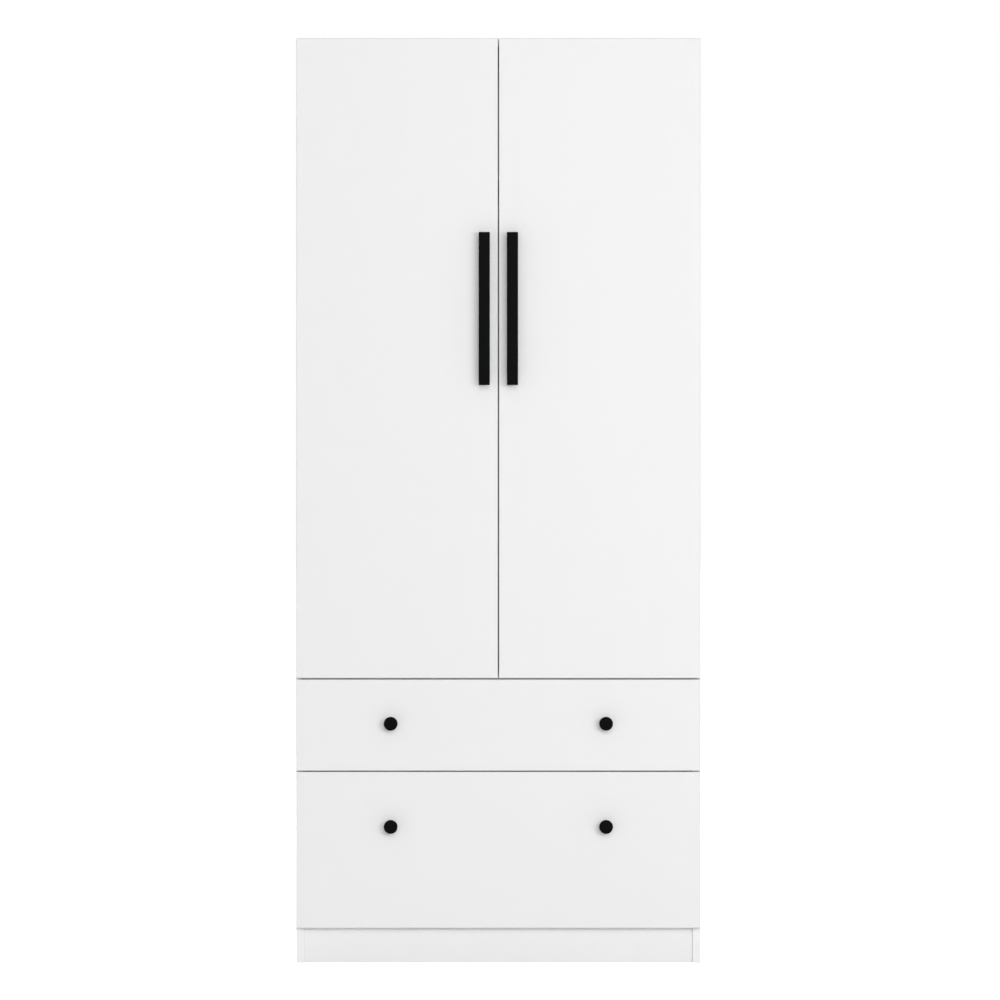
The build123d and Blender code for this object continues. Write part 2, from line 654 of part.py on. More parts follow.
def cup_pins():
    """Two stub pins, so that the middle link can pass between them."""
    far = POCKET_HALF + PIN_IN_CUP_WALL
    return [
        upright_pin(CUP_PIN_1, LINK_1_INNER_HALF, far),
        upright_pin(CUP_PIN_1, -far, -LINK_1_INNER_HALF),
    ]


def hinge_arm():
    """A sheet-steel channel over the rib of the mounting plate, with two ears for the pins."""
    rear = Y_EDGE + ARM_REAR
    neck = Y_EDGE + ARM_NECK
    x_top = -X_INNER + ARM_TOP
    x_skirt = x_top - ARM_SKIRT
    skirt = Polyline((x_skirt, neck), (x_skirt, rear), (x_top, rear), (x_top, neck), close=True)
    tip_1 = Pos(*ARM_PIN_1) * Circle(ARM_EYE_RADIUS)
    tip_2 = Pos(*ARM_PIN_2) * Circle(ARM_EYE_RADIUS)
    base = Polyline((x_skirt, neck), (x_top, neck), (x_top, neck + 1), (x_skirt, neck + 1), close=True)
    ears = make_hull(tip_1.edges() + tip_2.edges() + base.edges())
    cheek = make_face(skirt) + ears
    cheek -= [Pos(*pin) * Circle(HINGE_PIN_RADIUS + FIT) for pin in (ARM_PIN_1, ARM_PIN_2)]
    cheeks = slab(cheek, ARM_INNER_HALF, ARM_OUTER_HALF) + slab(cheek, -ARM_OUTER_HALF, -ARM_INNER_HALF)
    web = block((x_top - ARM_SHEET, x_top), (neck, rear), (-ARM_OUTER_HALF, ARM_OUTER_HALF))
    return cheeks + web


def mounting_plate():
    """A winged plate on the side panel with the rib that the arm clips over."""
    face = Plane(origin=(-X_INNER, Y_EDGE + PLATE_CENTRE, 0), x_dir=REARWARD, z_dir=RIGHT)
    wings = extrude(face * RectangleRounded(PLATE_WIDTH, PLATE_LENGTH, PLATE_ROUND), amount=PLATE_SHEET)
    rib_top = -X_INNER + ARM_TOP - ARM_SHEET
    rib = block((-X_INNER, rib_top), (Y_EDGE + RIB_FRONT, Y_EDGE + RIB_REAR), (-LINK_2_HALF, LINK_2_HALF))
    half = PLATE_SCREW_SPACING / 2
    starts = [(-X_INNER, Y_EDGE + PLATE_CENTRE, side * half) for side in (-1, 1)]
    return wings + rib - [rod(SCREW_RADIUS + FIT, start, RIGHT, PLATE_SHEET) for start in starts]


def arm_pins():
    return [
        upright_pin(ARM_PIN_1, -LINK_1_OUTER_HALF, LINK_1_OUTER_HALF),
        upright_pin(ARM_PIN_2, -ARM_OUTER_HALF, ARM_OUTER_HALF),
    ]


def at_hinge_levels(shapes):
    """Copies of one hinge's pieces at every hinge of a door."""
    return [Pos(0, 0, z) * shape for z in HINGE_LEVELS for shape in shapes]


def build_hinges():
    save("hinge_mounting_plates", both_sides(at_hinge_levels([mounting_plate()])))
    save("hinge_arms", both_sides(at_hinge_levels([hinge_arm()])))
    save("hinge_arm_pins", both_sides(at_hinge_levels(arm_pins())))
    cup_screws = [screw(place) for place in cup_screw_places()]
    for name, pieces in (
        ("hinge_cups", [hinge_cup()]),
        ("hinge_cup_pins", cup_pins()),
        ("hinge_cup_screws", cup_screws),
        ("hinge_first_links", [first_link()]),
        ("hinge_second_links", [second_link()]),
    ):
        left = at_hinge_levels(pieces)
        save(f"left_{name}", left)
        save(f"right_{name}", mirrored(left))


# Doors and their bar handles
HANDLE_POSTS = [(-X_HANDLE, Z_HANDLE + side * POST_SPACING / 2) for side in (-1, 1)]


def left_door_panel():
    panel = front_panel((-X_SIDE + SIDE_REVEAL, -FRONT_JOINT / 2), (Z_DOOR, Z_DOOR_TOP))
    bore = rod(CUP_RADIUS + FIT, (*CUP_CENTRE, 0), FORWARD, CUP_SUNK)
    cuts = at_hinge_levels([bore] + [screw_hole(place) for place in cup_screw_places()])
    return panel - cuts - [pull_screw_hole(*post) for post in HANDLE_POSTS]


def left_door_handle():
    front = Y_FACE - HANDLE_PROJECTION
    bar = block(
        (-X_HANDLE - HANDLE_WIDTH / 2, -X_HANDLE + HANDLE_WIDTH / 2),
        (front, front + HANDLE_BAR),
        (Z_HANDLE - HANDLE_LENGTH / 2, Z_HANDLE + HANDLE_LENGTH / 2),
    )
    bar = fillet(bar.edges(), HANDLE_ROUND)
    for x, z in HANDLE_POSTS:
        foot = Plane(origin=(x, Y_FACE, z), x_dir=RIGHT, z_dir=FORWARD)
        outline = RectangleRounded(POST_WIDTH, POST_HEIGHT, HANDLE_ROUND)
        bar += extrude(foot * outline, amount=HANDLE_PROJECTION - HANDLE_BAR)
    return bar - [pull_screw_hole(*post) for post in HANDLE_POSTS]


def build_doors():
    for name, pieces in (
        ("door_panel", [left_door_panel()]),
        ("door_handle", [left_door_handle()]),
        ("door_handle_screws", [pull_screw(*post) for post in HANDLE_POSTS]),
    ):
        save(f"left_{name}", pieces)
        save(f"right_{name}", mirrored(pieces))


# Telescopic drawer slides, drawn on the left-hand side
def rail(depth, half_height, opens_inward):
    """A steel channel: depth is where its web and the tips of its flanges lie from the side panel."""
    near, far = depth
    sheet = SLIDE_SHEET
    face = Plane(origin=(-X_INNER, SLIDE_START, 0), x_dir=RIGHT, z_dir=REARWARD)
    outer = Pos((near + far) / 2, 0) * Rectangle(far - near, 2 * half_height)
    web_side = Axis.X if opens_inward else -Axis.X
    outer = fillet(outer.vertices().sort_by(web_side)[:2], SLIDE_ROUND)
    hollow_near = near + sheet if opens_inward else near
    hollow_far = far if opens_inward else far - sheet
    hollow = Rectangle(hollow_far - hollow_near, 2 * (half_height - sheet))
    section = outer - Pos((hollow_near + hollow_far) / 2, 0) * hollow
    return extrude(face * section, amount=SLIDE_LENGTH)


OUTER_HALF = SLIDE_HEIGHT / 2
MIDDLE_HALF = OUTER_HALF - SLIDE_SHEET - SLIDE_AIR
INNER_HALF = MIDDLE_HALF - SLIDE_SHEET - SLIDE_AIR


def outer_rail():
    """The fixed channel, with holes for the screws into the side panel."""
    body = rail((0, SLIDE_THICKNESS - SLIDE_LIP_AIR), OUTER_HALF, True)
    return body - [screw_hole(((-X_INNER + SLIDE_SHEET, y, 0), LEFT)) for y in SLIDE_SCREW_Y]


def middle_rail():
    return rail((MIDDLE_RAIL_INSET, SLIDE_THICKNESS - SLIDE_LIP_AIR), MIDDLE_HALF, True)


def rail_screw_places(z):
    """Screws through the inner rail's web into the side of the drawer."""
    x = -X_BOX - SLIDE_SHEET
    return [((x, y, z), RIGHT) for y in SLIDE_SCREW_Y]


def inner_rail():
    body = rail((SLIDE_THICKNESS - INNER_RAIL_DEPTH, SLIDE_THICKNESS), INNER_HALF, False)
    return body - [screw_hole(place) for place in rail_screw_places(0)]


# Drawers
def knob(x, z):
    """A turned knob with a waisted neck and a flat head."""
    under = KNOB_PROJECTION - KNOB_HEAD
    waist = (KNOB_BASE + under) / 2
    flank = ThreePointArc((KNOB_BASE_RADIUS, KNOB_BASE), (KNOB_NECK_RADIUS, waist), (KNOB_BASE_RADIUS, under))
    rim_low = Line((KNOB_BASE_RADIUS, under), (KNOB_RADIUS, under))
    rim = Line((KNOB_RADIUS, under), (KNOB_RADIUS, KNOB_PROJECTION - KNOB_ROUND))
    shoulder = RadiusArc(rim @ 1, (KNOB_RADIUS - KNOB_ROUND, KNOB_PROJECTION), -KNOB_ROUND)
    closing = Polyline(
        shoulder @ 1,
        (0, KNOB_PROJECTION),
        (0, 0),
        (KNOB_BASE_RADIUS, 0),
        (KNOB_BASE_RADIUS, KNOB_BASE),
    )
    profile = make_face(flank.edges() + rim_low.edges() + rim.edges() + shoulder.edges() + closing.edges())
    turned = revolve(Plane.XZ * profile, axis=Axis.Z)
    return Pos(x, Y_FACE, z) * Rot(90, 0, 0) * turned - pull_screw_hole(x, z)


def box_cam_plane(z):
    """Local X runs back into the drawer side from the front, local Z out of its inner face."""
    return Plane(origin=(-X_BOX + BOX_BOARD, Y_LINING, z), x_dir=REARWARD, z_dir=RIGHT)


def box_bolt(plane):
    start = (-BOLT_THREAD, 0, -BOX_BOARD / 2)
    head_start = (BOX_CAM_DISTANCE - BOLT_HEAD_LENGTH / 2, 0, -BOX_BOARD / 2)
    shank = rod(BOX_BOLT_RADIUS, start, RIGHT, BOLT_THREAD + BOX_CAM_DISTANCE)
    head = rod(BOX_BOLT_RADIUS + FIT, head_start, RIGHT, BOLT_HEAD_LENGTH / 2)
    return plane * (shank + head)


def box_cam(plane):
    body = rod(BOX_CAM_RADIUS, (BOX_CAM_DISTANCE, 0, -BOX_CAM_DEPTH), UP, BOX_CAM_DEPTH - CAM_RECESS)
    mouth = rod(
        BOX_BOLT_HOLE_RADIUS,
        (BOX_CAM_DISTANCE - BOX_CAM_RADIUS, 0, -BOX_BOARD / 2),
        RIGHT,
        BOX_CAM_RADIUS + BOX_BOLT_HOLE_RADIUS,
    )
    return plane * (body - mouth)


def box_cam_cuts(plane):
    reach = rod(BOX_BOLT_HOLE_RADIUS, (0, 0, -BOX_BOARD / 2), RIGHT, BOX_CAM_DISTANCE)
    pocket = rod(BOX_CAM_RADIUS + FIT, (BOX_CAM_DISTANCE, 0, -BOX_CAM_DEPTH), UP, BOX_CAM_DEPTH)
    return [plane * reach, plane * pocket]


def box_bolt_hole_in_front(plane):
    length = BOLT_THREAD + HOLE_END_AIR
    return plane * rod(BOX_BOLT_RADIUS + FIT, (-length, 0, -BOX_BOARD / 2), RIGHT, length)


def build_drawer(name, front_z, box_rise, box_height, knob_rise):
    front_low, front_high = front_z
    box_low = front_low + box_rise
    box_high = box_low + box_height
    level = slide_level(front_low, box_rise)
    box_rear = Y_LINING + BOX_LENGTH
    bottom_low = box_low + BOX_BOTTOM_RISE
    x_inner = X_BOX - BOX_BOARD
    knobs = [(side * KNOB_FROM_MIDDLE, front_low + knob_rise) for side in (-1, 1)]
    cam_levels = (bottom_low + BOX_CAM_FROM_END, box_high - BOX_CAM_FROM_END)
    cam_planes = [box_cam_plane(z) for z in cam_levels]
    rail_screws = rail_screw_places(level)
    screw_levels = (level + OUTER_HALF + BOX_SCREW_FROM_TOP, box_high - BOX_SCREW_FROM_TOP)
    box_screws = [((-X_BOX, box_rear - BOX_BOARD / 2, z), RIGHT) for z in screw_levels]

    groove_half = x_inner + BOX_GROOVE
    groove_z = (bottom_low - SLOT_AIR, bottom_low + BOX_BOTTOM + SLOT_AIR)
    groove_y = (Y_LINING - BOX_GROOVE, box_rear - BOX_BOARD + BOX_GROOVE)
    groove = block((-groove_half, groove_half), groove_y, groove_z)
    bottom_half = groove_half - SLOT_AIR
    bottom_y = (groove_y[0] + SLOT_AIR, groove_y[1] - SLOT_AIR)

    front = front_panel((-X_SIDE + SIDE_REVEAL, X_SIDE - SIDE_REVEAL), front_z)
    front -= [groove] + [pull_screw_hole(*place) for place in knobs]
    front -= both_sides([box_bolt_hole_in_front(plane) for plane in cam_planes])
    side = block((-X_BOX, -x_inner), (Y_LINING, box_rear), (box_low, box_high)) - groove
    side -= [cut for plane in cam_planes for cut in box_cam_cuts(plane)]
    side -= [screw_hole(place) for place in rail_screws]
    side_holes = [screw_hole(place, BOX_SCREW_LENGTH) for place in box_screws]
    side -= side_holes
    back = block((-x_inner, x_inner), (box_rear - BOX_BOARD, box_rear), (box_low, box_high)) - groove
    back -= both_sides(side_holes)
    bottom = block((-bottom_half, bottom_half), bottom_y, (bottom_low, bottom_low + BOX_BOTTOM))

    fasteners = [box_bolt(plane) for plane in cam_planes] + [box_cam(plane) for plane in cam_planes]
    fasteners += [screw(place) for place in rail_screws]
    fasteners += [screw(place, BOX_SCREW_LENGTH) for place in box_screws]

    save(f"{name}_front", [front])
    save(f"{name}_left_side", [side])
    save(f"{name}_right_side", mirrored([side]))
    save(f"{name}_back", [back])
    save(f"{name}_bottom", [bottom])
    save(f"{name}_knobs", [knob(*place) for place in knobs])
    save(f"{name}_knob_screws", [pull_screw(*place) for place in knobs])
    save(f"{name}_fasteners", both_sides(fasteners))
    save(f"{name}_inner_rails", both_sides([Pos(0, 0, level) * inner_rail()]))
    save(f"{name}_middle_rails", both_sides([Pos(0, 0, level) * middle_rail()]))


def build_drawers():
    upper_z = (Z_UPPER_FRONT, Z_UPPER_FRONT + UPPER_FRONT_HEIGHT)
    lower_z = (Z_LOWER_FRONT, Z_LOWER_FRONT + LOWER_FRONT_HEIGHT)
    build_drawer("upper_drawer", upper_z, UPPER_BOX_RISE, UPPER_BOX_HEIGHT, UPPER_KNOB_RISE)
    build_drawer("lower_drawer", lower_z, LOWER_BOX_RISE, LOWER_BOX_HEIGHT, LOWER_KNOB_RISE)
    rails = [Pos(0, 0, level) * outer_rail() for level in SLIDE_LEVELS]
    save("drawer_slide_outer_rails", both_sides(rails))


os.makedirs("parts", exist_ok=True)
build_carcass()
build_hinges()
build_doors()
build_drawers()
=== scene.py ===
import math

import bmesh
import bpy
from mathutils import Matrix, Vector


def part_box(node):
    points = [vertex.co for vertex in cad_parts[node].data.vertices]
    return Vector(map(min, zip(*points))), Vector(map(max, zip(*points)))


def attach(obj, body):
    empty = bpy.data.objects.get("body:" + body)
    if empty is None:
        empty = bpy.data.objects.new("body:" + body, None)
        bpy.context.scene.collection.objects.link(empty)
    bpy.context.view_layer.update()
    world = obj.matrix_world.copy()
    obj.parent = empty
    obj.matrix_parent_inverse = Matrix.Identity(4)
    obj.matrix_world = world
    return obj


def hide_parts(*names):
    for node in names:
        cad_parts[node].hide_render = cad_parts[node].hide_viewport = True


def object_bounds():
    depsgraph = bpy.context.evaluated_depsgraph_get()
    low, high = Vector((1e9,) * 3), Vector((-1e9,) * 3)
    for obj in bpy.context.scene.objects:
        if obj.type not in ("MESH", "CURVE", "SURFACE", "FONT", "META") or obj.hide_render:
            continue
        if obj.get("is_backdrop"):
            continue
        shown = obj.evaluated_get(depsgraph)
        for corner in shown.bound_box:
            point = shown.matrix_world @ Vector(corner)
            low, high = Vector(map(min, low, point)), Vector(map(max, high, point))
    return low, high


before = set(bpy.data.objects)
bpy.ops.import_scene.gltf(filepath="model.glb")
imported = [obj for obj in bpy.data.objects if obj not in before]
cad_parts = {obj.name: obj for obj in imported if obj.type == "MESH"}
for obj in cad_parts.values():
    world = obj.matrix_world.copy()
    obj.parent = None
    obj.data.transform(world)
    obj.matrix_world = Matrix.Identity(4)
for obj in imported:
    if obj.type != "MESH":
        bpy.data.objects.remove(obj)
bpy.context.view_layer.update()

# Two-door wardrobe with two drawers: finishes, small fittings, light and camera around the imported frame.
# Lengths are in metres; MM turns a maker's millimetres into them.
# A name that ends in _MM holds millimetres.
MM = 0.001
AXES = {"x": Vector((1, 0, 0)), "y": Vector((0, 1, 0)), "z": Vector((0, 0, 1))}
SIDES = ("left", "right")
DRAWERS = ("upper_drawer", "lower_drawer")

# Nearly all values of a noise lie between the first pair; the closer pair gives more contrast
NOISE_LOW, NOISE_HIGH = 0.3, 0.7
CLOSE_LOW, CLOSE_HIGH = 0.35, 0.65


# Shared helpers
def linear(hex_code):
    """An sRGB hex colour as the linear RGBA that shaders take."""
    channels = [int(hex_code[place:place + 2], 16) / 255 for place in (0, 2, 4)]
    red, green, blue = (c / 12.92 if c <= 0.04045 else ((c + 0.055) / 1.055) ** 2.4 for c in channels)
    return red, green, blue, 1.0


def per_metre(millimetres):
    """The texture scale that makes one feature this wide."""
    return 1000.0 / millimetres


def add(tree, kind, inputs=(), stops=(), **settings):
    """Add one node: settings are its properties, inputs are values or the nodes and outputs to link.

    A list links several into one socket. Stops are a colour ramp's pairs of place and hex colour.
    """
    made = tree.nodes.new(kind)
    for name, value in settings.items():
        setattr(made, name, value)
    for socket, value in dict(inputs).items():
        for source in value if isinstance(value, list) else [value]:
            if isinstance(source, bpy.types.Node):
                source = source.outputs[0]
            if isinstance(source, bpy.types.NodeSocket):
                tree.links.new(source, made.inputs[socket])
            else:
                made.inputs[socket].default_value = source
    if stops:
        elements = made.color_ramp.elements
        while len(elements) < len(stops):
            elements.new(0.5)
        for element, (place, colour) in zip(elements, stops):
            element.position = place
            element.color = linear(colour)
    return made


def new_material(name):
    """An empty node material and the Object coordinates that its patterns read."""
    material = bpy.data.materials.new(name)
    material.use_nodes = True
    tree = material.node_tree
    tree.nodes.clear()
    return material, tree, add(tree, "ShaderNodeTexCoord").outputs["Object"]


def paint(material, *nodes):
    """Give a material to CAD nodes that keep their own shape."""
    for node in nodes:
        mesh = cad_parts[node].data
        mesh.materials.clear()
        mesh.materials.append(material)


def face_direction(face):
    """The outward direction of a face that is named as in "+y"."""
    return AXES[face[1]] * (1 if face[0] == "+" else -1)


# Boards: how thick their skins and edge bands are, and how wide and deep their patterns
SKIN = 0.4 * MM
RAW_SKIN = 0.3 * MM
BAND = 1.0 * MM
BAND_JOINT = 0.14 * MM
CHIP_MM = 2.6
CHIP_DUST_MM = 1.1
CHIP_RELIEF = 0.5 * MM
# The pearl emboss is about 0.8 mm on the real board, drawn at 1.6 mm so that it shows
PEARL_MM = 1.6
PEARL_RELIEF = 0.025 * MM
FACE_ROUGHNESS = (0.40, 0.50)
BAND_ROUGHNESS = 0.34
RAW_ROUGHNESS = 0.88


def chipboard_look(tree, where):
    """Pressed wood chips: pale and dark flakes a few millimetres across, with open pores."""
    flakes = add(tree, "ShaderNodeTexVoronoi", {"Vector": where, "Scale": per_metre(CHIP_MM)})
    dust = add(
        tree, "ShaderNodeTexNoise", {"Vector": where, "Scale": per_metre(CHIP_DUST_MM), "Detail": 3.0}
    )
    tone = add(tree, "ShaderNodeSeparateColor", {"Color": flakes.outputs["Color"]})
    mixed = add(tree, "ShaderNodeMath", {0: tone, 1: dust}, operation="MULTIPLY")
    colour = add(
        tree,
        "ShaderNodeValToRGB",
        {"Fac": mixed},
        [(0.05, "7D5F3E"), (0.22, "B08F66"), (0.42, "CDB48C"), (0.7, "E0CDAA")],
    )
    height = add(tree, "ShaderNodeMath", {0: mixed, 1: CHIP_RELIEF}, operation="MULTIPLY")
    return colour, height


def board_finish(node, thin, raw):
    """White melamine on the faces, white edge band round them, raw chipboard where a cut shows.

    The melamine is embossed with a fine pearl, so it is satin rather than glossy. The ABS band is a
    little glossier and meets the face in a hairline joint. Raw faces are named as in "+y".
    """
    low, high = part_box(node)
    centre = (low + high) / 2
    half = (high - low) / 2
    material, tree, where = new_material("melamine_board_" + node)

    # How far a point lies inside the board's box tells faces, bands, their joints and bores apart
    offset = add(tree, "ShaderNodeVectorMath", {0: where, 1: centre}, operation="SUBTRACT")
    spread = add(tree, "ShaderNodeVectorMath", {0: offset}, operation="ABSOLUTE")
    depth = add(tree, "ShaderNodeVectorMath", {0: half, 1: spread}, operation="SUBTRACT")
    depths = add(tree, "ShaderNodeSeparateXYZ", {0: depth}).outputs
    across = [depths[name] for name in "XYZ" if name.lower() != thin]
    edge = add(tree, "ShaderNodeMath", {0: across[0], 1: across[1]}, operation="MINIMUM")
    nearest = add(tree, "ShaderNodeMath", {0: edge, 1: depths[thin.upper()]}, operation="MINIMUM")
    bare = add(tree, "ShaderNodeMath", {0: nearest, 1: SKIN}, operation="GREATER_THAN")
    for face in raw:
        reach = add(
            tree, "ShaderNodeVectorMath", {0: offset, 1: face_direction(face)}, operation="DOT_PRODUCT"
        )
        limit = half["xyz".index(face[1])] - RAW_SKIN
        there = add(
            tree, "ShaderNodeMath", {0: reach.outputs["Value"], 1: limit}, operation="GREATER_THAN"
        )
        bare = add(tree, "ShaderNodeMath", {0: bare, 1: there}, operation="MAXIMUM")
    band = add(tree, "ShaderNodeMath", {0: edge, 1: BAND}, operation="LESS_THAN")
    joint = add(tree, "ShaderNodeMath", {0: edge, 1: BAND, 2: BAND_JOINT}, operation="COMPARE")

    pearl = add(
        tree, "ShaderNodeTexNoise", {"Vector": where, "Scale": per_metre(PEARL_MM), "Detail": 2.0}
    )
    paper = add(
        tree, "ShaderNodeValToRGB", {"Fac": pearl}, [(NOISE_LOW, "EFEFEF"), (NOISE_HIGH, "F3F3F3")]
    )
    banded = add(
        tree, "ShaderNodeMix", {"Factor": band, 6: paper, 7: linear("F4F4F4")}, data_type="RGBA"
    ).outputs[2]
    joined = add(
        tree, "ShaderNodeMix", {"Factor": joint, 6: banded, 7: linear("CFCFCD")}, data_type="RGBA"
    ).outputs[2]
    chips, chip_height = chipboard_look(tree, where)
    colour = add(
        tree, "ShaderNodeMix", {"Factor": bare, 6: joined, 7: chips}, data_type="RGBA"
    ).outputs[2]
    satin = add(
        tree,
        "ShaderNodeMapRange",
        {
            "Value": pearl,
            "From Min": NOISE_LOW,
            "From Max": NOISE_HIGH,
            "To Min": FACE_ROUGHNESS[0],
            "To Max": FACE_ROUGHNESS[1],
        },
    )
    smoother = add(
        tree, "ShaderNodeMix", {"Factor": band, 2: satin, 3: BAND_ROUGHNESS}, data_type="FLOAT"
    )
    roughness = add(
        tree, "ShaderNodeMix", {"Factor": bare, 2: smoother, 3: RAW_ROUGHNESS}, data_type="FLOAT"
    )
    pearl_height = add(tree, "ShaderNodeMath", {0: pearl, 1: PEARL_RELIEF}, operation="MULTIPLY")
    height = add(
        tree, "ShaderNodeMix", {"Factor": bare, 2: pearl_height, 3: chip_height}, data_type="FLOAT"
    )
    bump = add(tree, "ShaderNodeBump", {"Height": height, "Strength": 0.6, "Distance": 1.0})
    shader = add(
        tree,
        "ShaderNodeBsdfPrincipled",
        {"Base Color": colour, "Roughness": roughness, "IOR": 1.5, "Normal": bump},
    )
    add(tree, "ShaderNodeOutputMaterial", {"Surface": shader})
    return material


# Each board's thin axis, and its cut faces that are left raw
BOARDS = {
    "top_panel": ("z", ("+y", "-x", "+x")),
    "middle_panel": ("z", ("+y", "-x", "+x")),
    "bottom_panel": ("z", ("+y", "-x", "+x")),
    "hat_shelf": ("z", ("+y",)),
    "front_plinth": ("y", ("-z", "+z")),
    "rear_plinth": ("y", ("-z", "+z")),
}
for side in SIDES:
    BOARDS[side + "_side_panel"] = ("x", ("+y", "-z"))
    BOARDS[side + "_door_panel"] = ("y", ())
for drawer in DRAWERS:
    BOARDS[drawer + "_front"] = ("y", ())
    BOARDS[drawer + "_back"] = ("y", ("-z",))
    for side in SIDES:
        BOARDS[drawer + "_" + side + "_side"] = ("x", ("-z", "+y"))
for node, (thin, raw) in BOARDS.items():
    paint(board_finish(node, thin, raw), node)


# Hardboard: the screen is 1.5 mm on the real sheet, drawn at 3 mm so that it shows
FIBRE_MM = 3.0
FIBRE_RELIEF = 0.03 * MM
CLOUD_MM = 120.0
CLOUD_SHARE = 0.12
SCREEN_MM = 3.0
SCREEN_RELIEF = 0.25 * MM
BROWN_ROUGHNESS, WHITE_ROUGHNESS = 0.82, 0.45
# A wave texture draws this many bands in a metre for each unit of its scale
WAVES_PER_SCALE = 20 / (2 * math.pi)


def hardboard_finish(node, white_face):
    """Hardboard: lacquered white on one face, brown pressed fibre with a screen imprint on the rest.

    The smooth lacquer shows a faint grain of the fibre below.
    """
    low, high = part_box(node)
    centre = (low + high) / 2
    axis = white_face[1]
    limit = (high - low)["xyz".index(axis)] / 2 - RAW_SKIN
    material, tree, where = new_material("hardboard_" + node)
    offset = add(tree, "ShaderNodeVectorMath", {0: where, 1: centre}, operation="SUBTRACT")
    reach = add(
        tree, "ShaderNodeVectorMath", {0: offset, 1: face_direction(white_face)}, operation="DOT_PRODUCT"
    )
    white = add(
        tree, "ShaderNodeMath", {0: reach.outputs["Value"], 1: limit}, operation="GREATER_THAN"
    )
    fibre = add(
        tree, "ShaderNodeTexNoise", {"Vector": where, "Scale": per_metre(FIBRE_MM), "Detail": 6.0}
    )
    cloud = add(
        tree, "ShaderNodeTexNoise", {"Vector": where, "Scale": per_metre(CLOUD_MM), "Detail": 2.0}
    )
    tone = add(tree, "ShaderNodeMix", {"Factor": CLOUD_SHARE, 2: fibre, 3: cloud}, data_type="FLOAT")
    brown = add(
        tree,
        "ShaderNodeValToRGB",
        {"Fac": tone},
        [(CLOSE_LOW, "7A5838"), (0.5, "936E47"), (CLOSE_HIGH, "A8845A")],
    )
    lacquer = add(
        tree, "ShaderNodeValToRGB", {"Fac": fibre}, [(CLOSE_LOW, "E9E9E7"), (CLOSE_HIGH, "EFEFED")]
    )
    colour = add(
        tree, "ShaderNodeMix", {"Factor": white, 6: brown, 7: lacquer}, data_type="RGBA"
    ).outputs[2]
    roughness = add(
        tree,
        "ShaderNodeMix",
        {"Factor": white, 2: BROWN_ROUGHNESS, 3: WHITE_ROUGHNESS},
        data_type="FLOAT",
    )
    weave = [
        add(
            tree,
            "ShaderNodeTexWave",
            {"Vector": where, "Scale": per_metre(SCREEN_MM) / WAVES_PER_SCALE, "Distortion": 0.0},
            bands_direction=name.upper(),
        ).outputs["Fac"]
        for name in AXES
        if name != axis
    ]
    screen = add(tree, "ShaderNodeMath", {0: weave[0], 1: weave[1]}, operation="MULTIPLY")
    rough_height = add(tree, "ShaderNodeMath", {0: screen, 1: SCREEN_RELIEF}, operation="MULTIPLY")
    fine_height = add(tree, "ShaderNodeMath", {0: fibre, 1: FIBRE_RELIEF}, operation="MULTIPLY")
    height = add(
        tree, "ShaderNodeMix", {"Factor": white, 2: rough_height, 3: fine_height}, data_type="FLOAT"
    )
    bump = add(tree, "ShaderNodeBump", {"Height": height, "Strength": 0.7, "Distance": 1.0})
    shader = add(
        tree,
        "ShaderNodeBsdfPrincipled",
        {"Base Color": colour, "Roughness": roughness, "IOR": 1.5, "Normal": bump},
    )
    add(tree, "ShaderNodeOutputMaterial", {"Surface": shader})
    return material


SHEETS = {"upper_back_board": "-y", "lower_back_board": "-y"}
for drawer in DRAWERS:
    SHEETS[drawer + "_bottom"] = "+z"
for node, white_face in SHEETS.items():
    paint(hardboard_finish(node, white_face), node)


# Metals, plastics and wood: each pattern's width and relief, and its share of scale along a grain
# The peel is about 0.5 mm on the real handle, drawn at 0.9 mm so that it shows
PEEL_MM = 0.9
PEEL_RELIEF = 0.06 * MM
ROLLING_LINE_MM = 0.8
ROLLING_STRETCH = 0.04
PLATING_RELIEF = 0.012 * MM
MOULD_GRAIN_MM = 0.9
MOULD_RELIEF = 0.04 * MM
WOOD_GRAIN_MM = 0.7
WOOD_STRETCH = 0.08
WOOD_RELIEF = 0.1 * MM
HAZE_MM = 1.5


def powder_coat():
    """Black powder coat on steel: deep matt black with a fine orange peel that breaks up the gloss."""
    material, tree, where = new_material("black_powder_coat")
    peel = add(
        tree, "ShaderNodeTexNoise", {"Vector": where, "Scale": per_metre(PEEL_MM), "Detail": 3.0}
    )
    colour = add(
        tree, "ShaderNodeValToRGB", {"Fac": peel}, [(NOISE_LOW, "060607"), (NOISE_HIGH, "0A0A0B")]
    )
    gloss = add(
        tree,
        "ShaderNodeMapRange",
        {"Value": peel, "From Min": NOISE_LOW, "From Max": NOISE_HIGH, "To Min": 0.46, "To Max": 0.60},
    )
    bump = add(tree, "ShaderNodeBump", {"Height": peel, "Strength": 0.35, "Distance": PEEL_RELIEF})
    shader = add(
        tree,
        "ShaderNodeBsdfPrincipled",
        {"Base Color": colour, "Roughness": gloss, "Specular IOR Level": 0.05, "Normal": bump},
    )
    add(tree, "ShaderNodeOutputMaterial", {"Surface": shader})
    return material


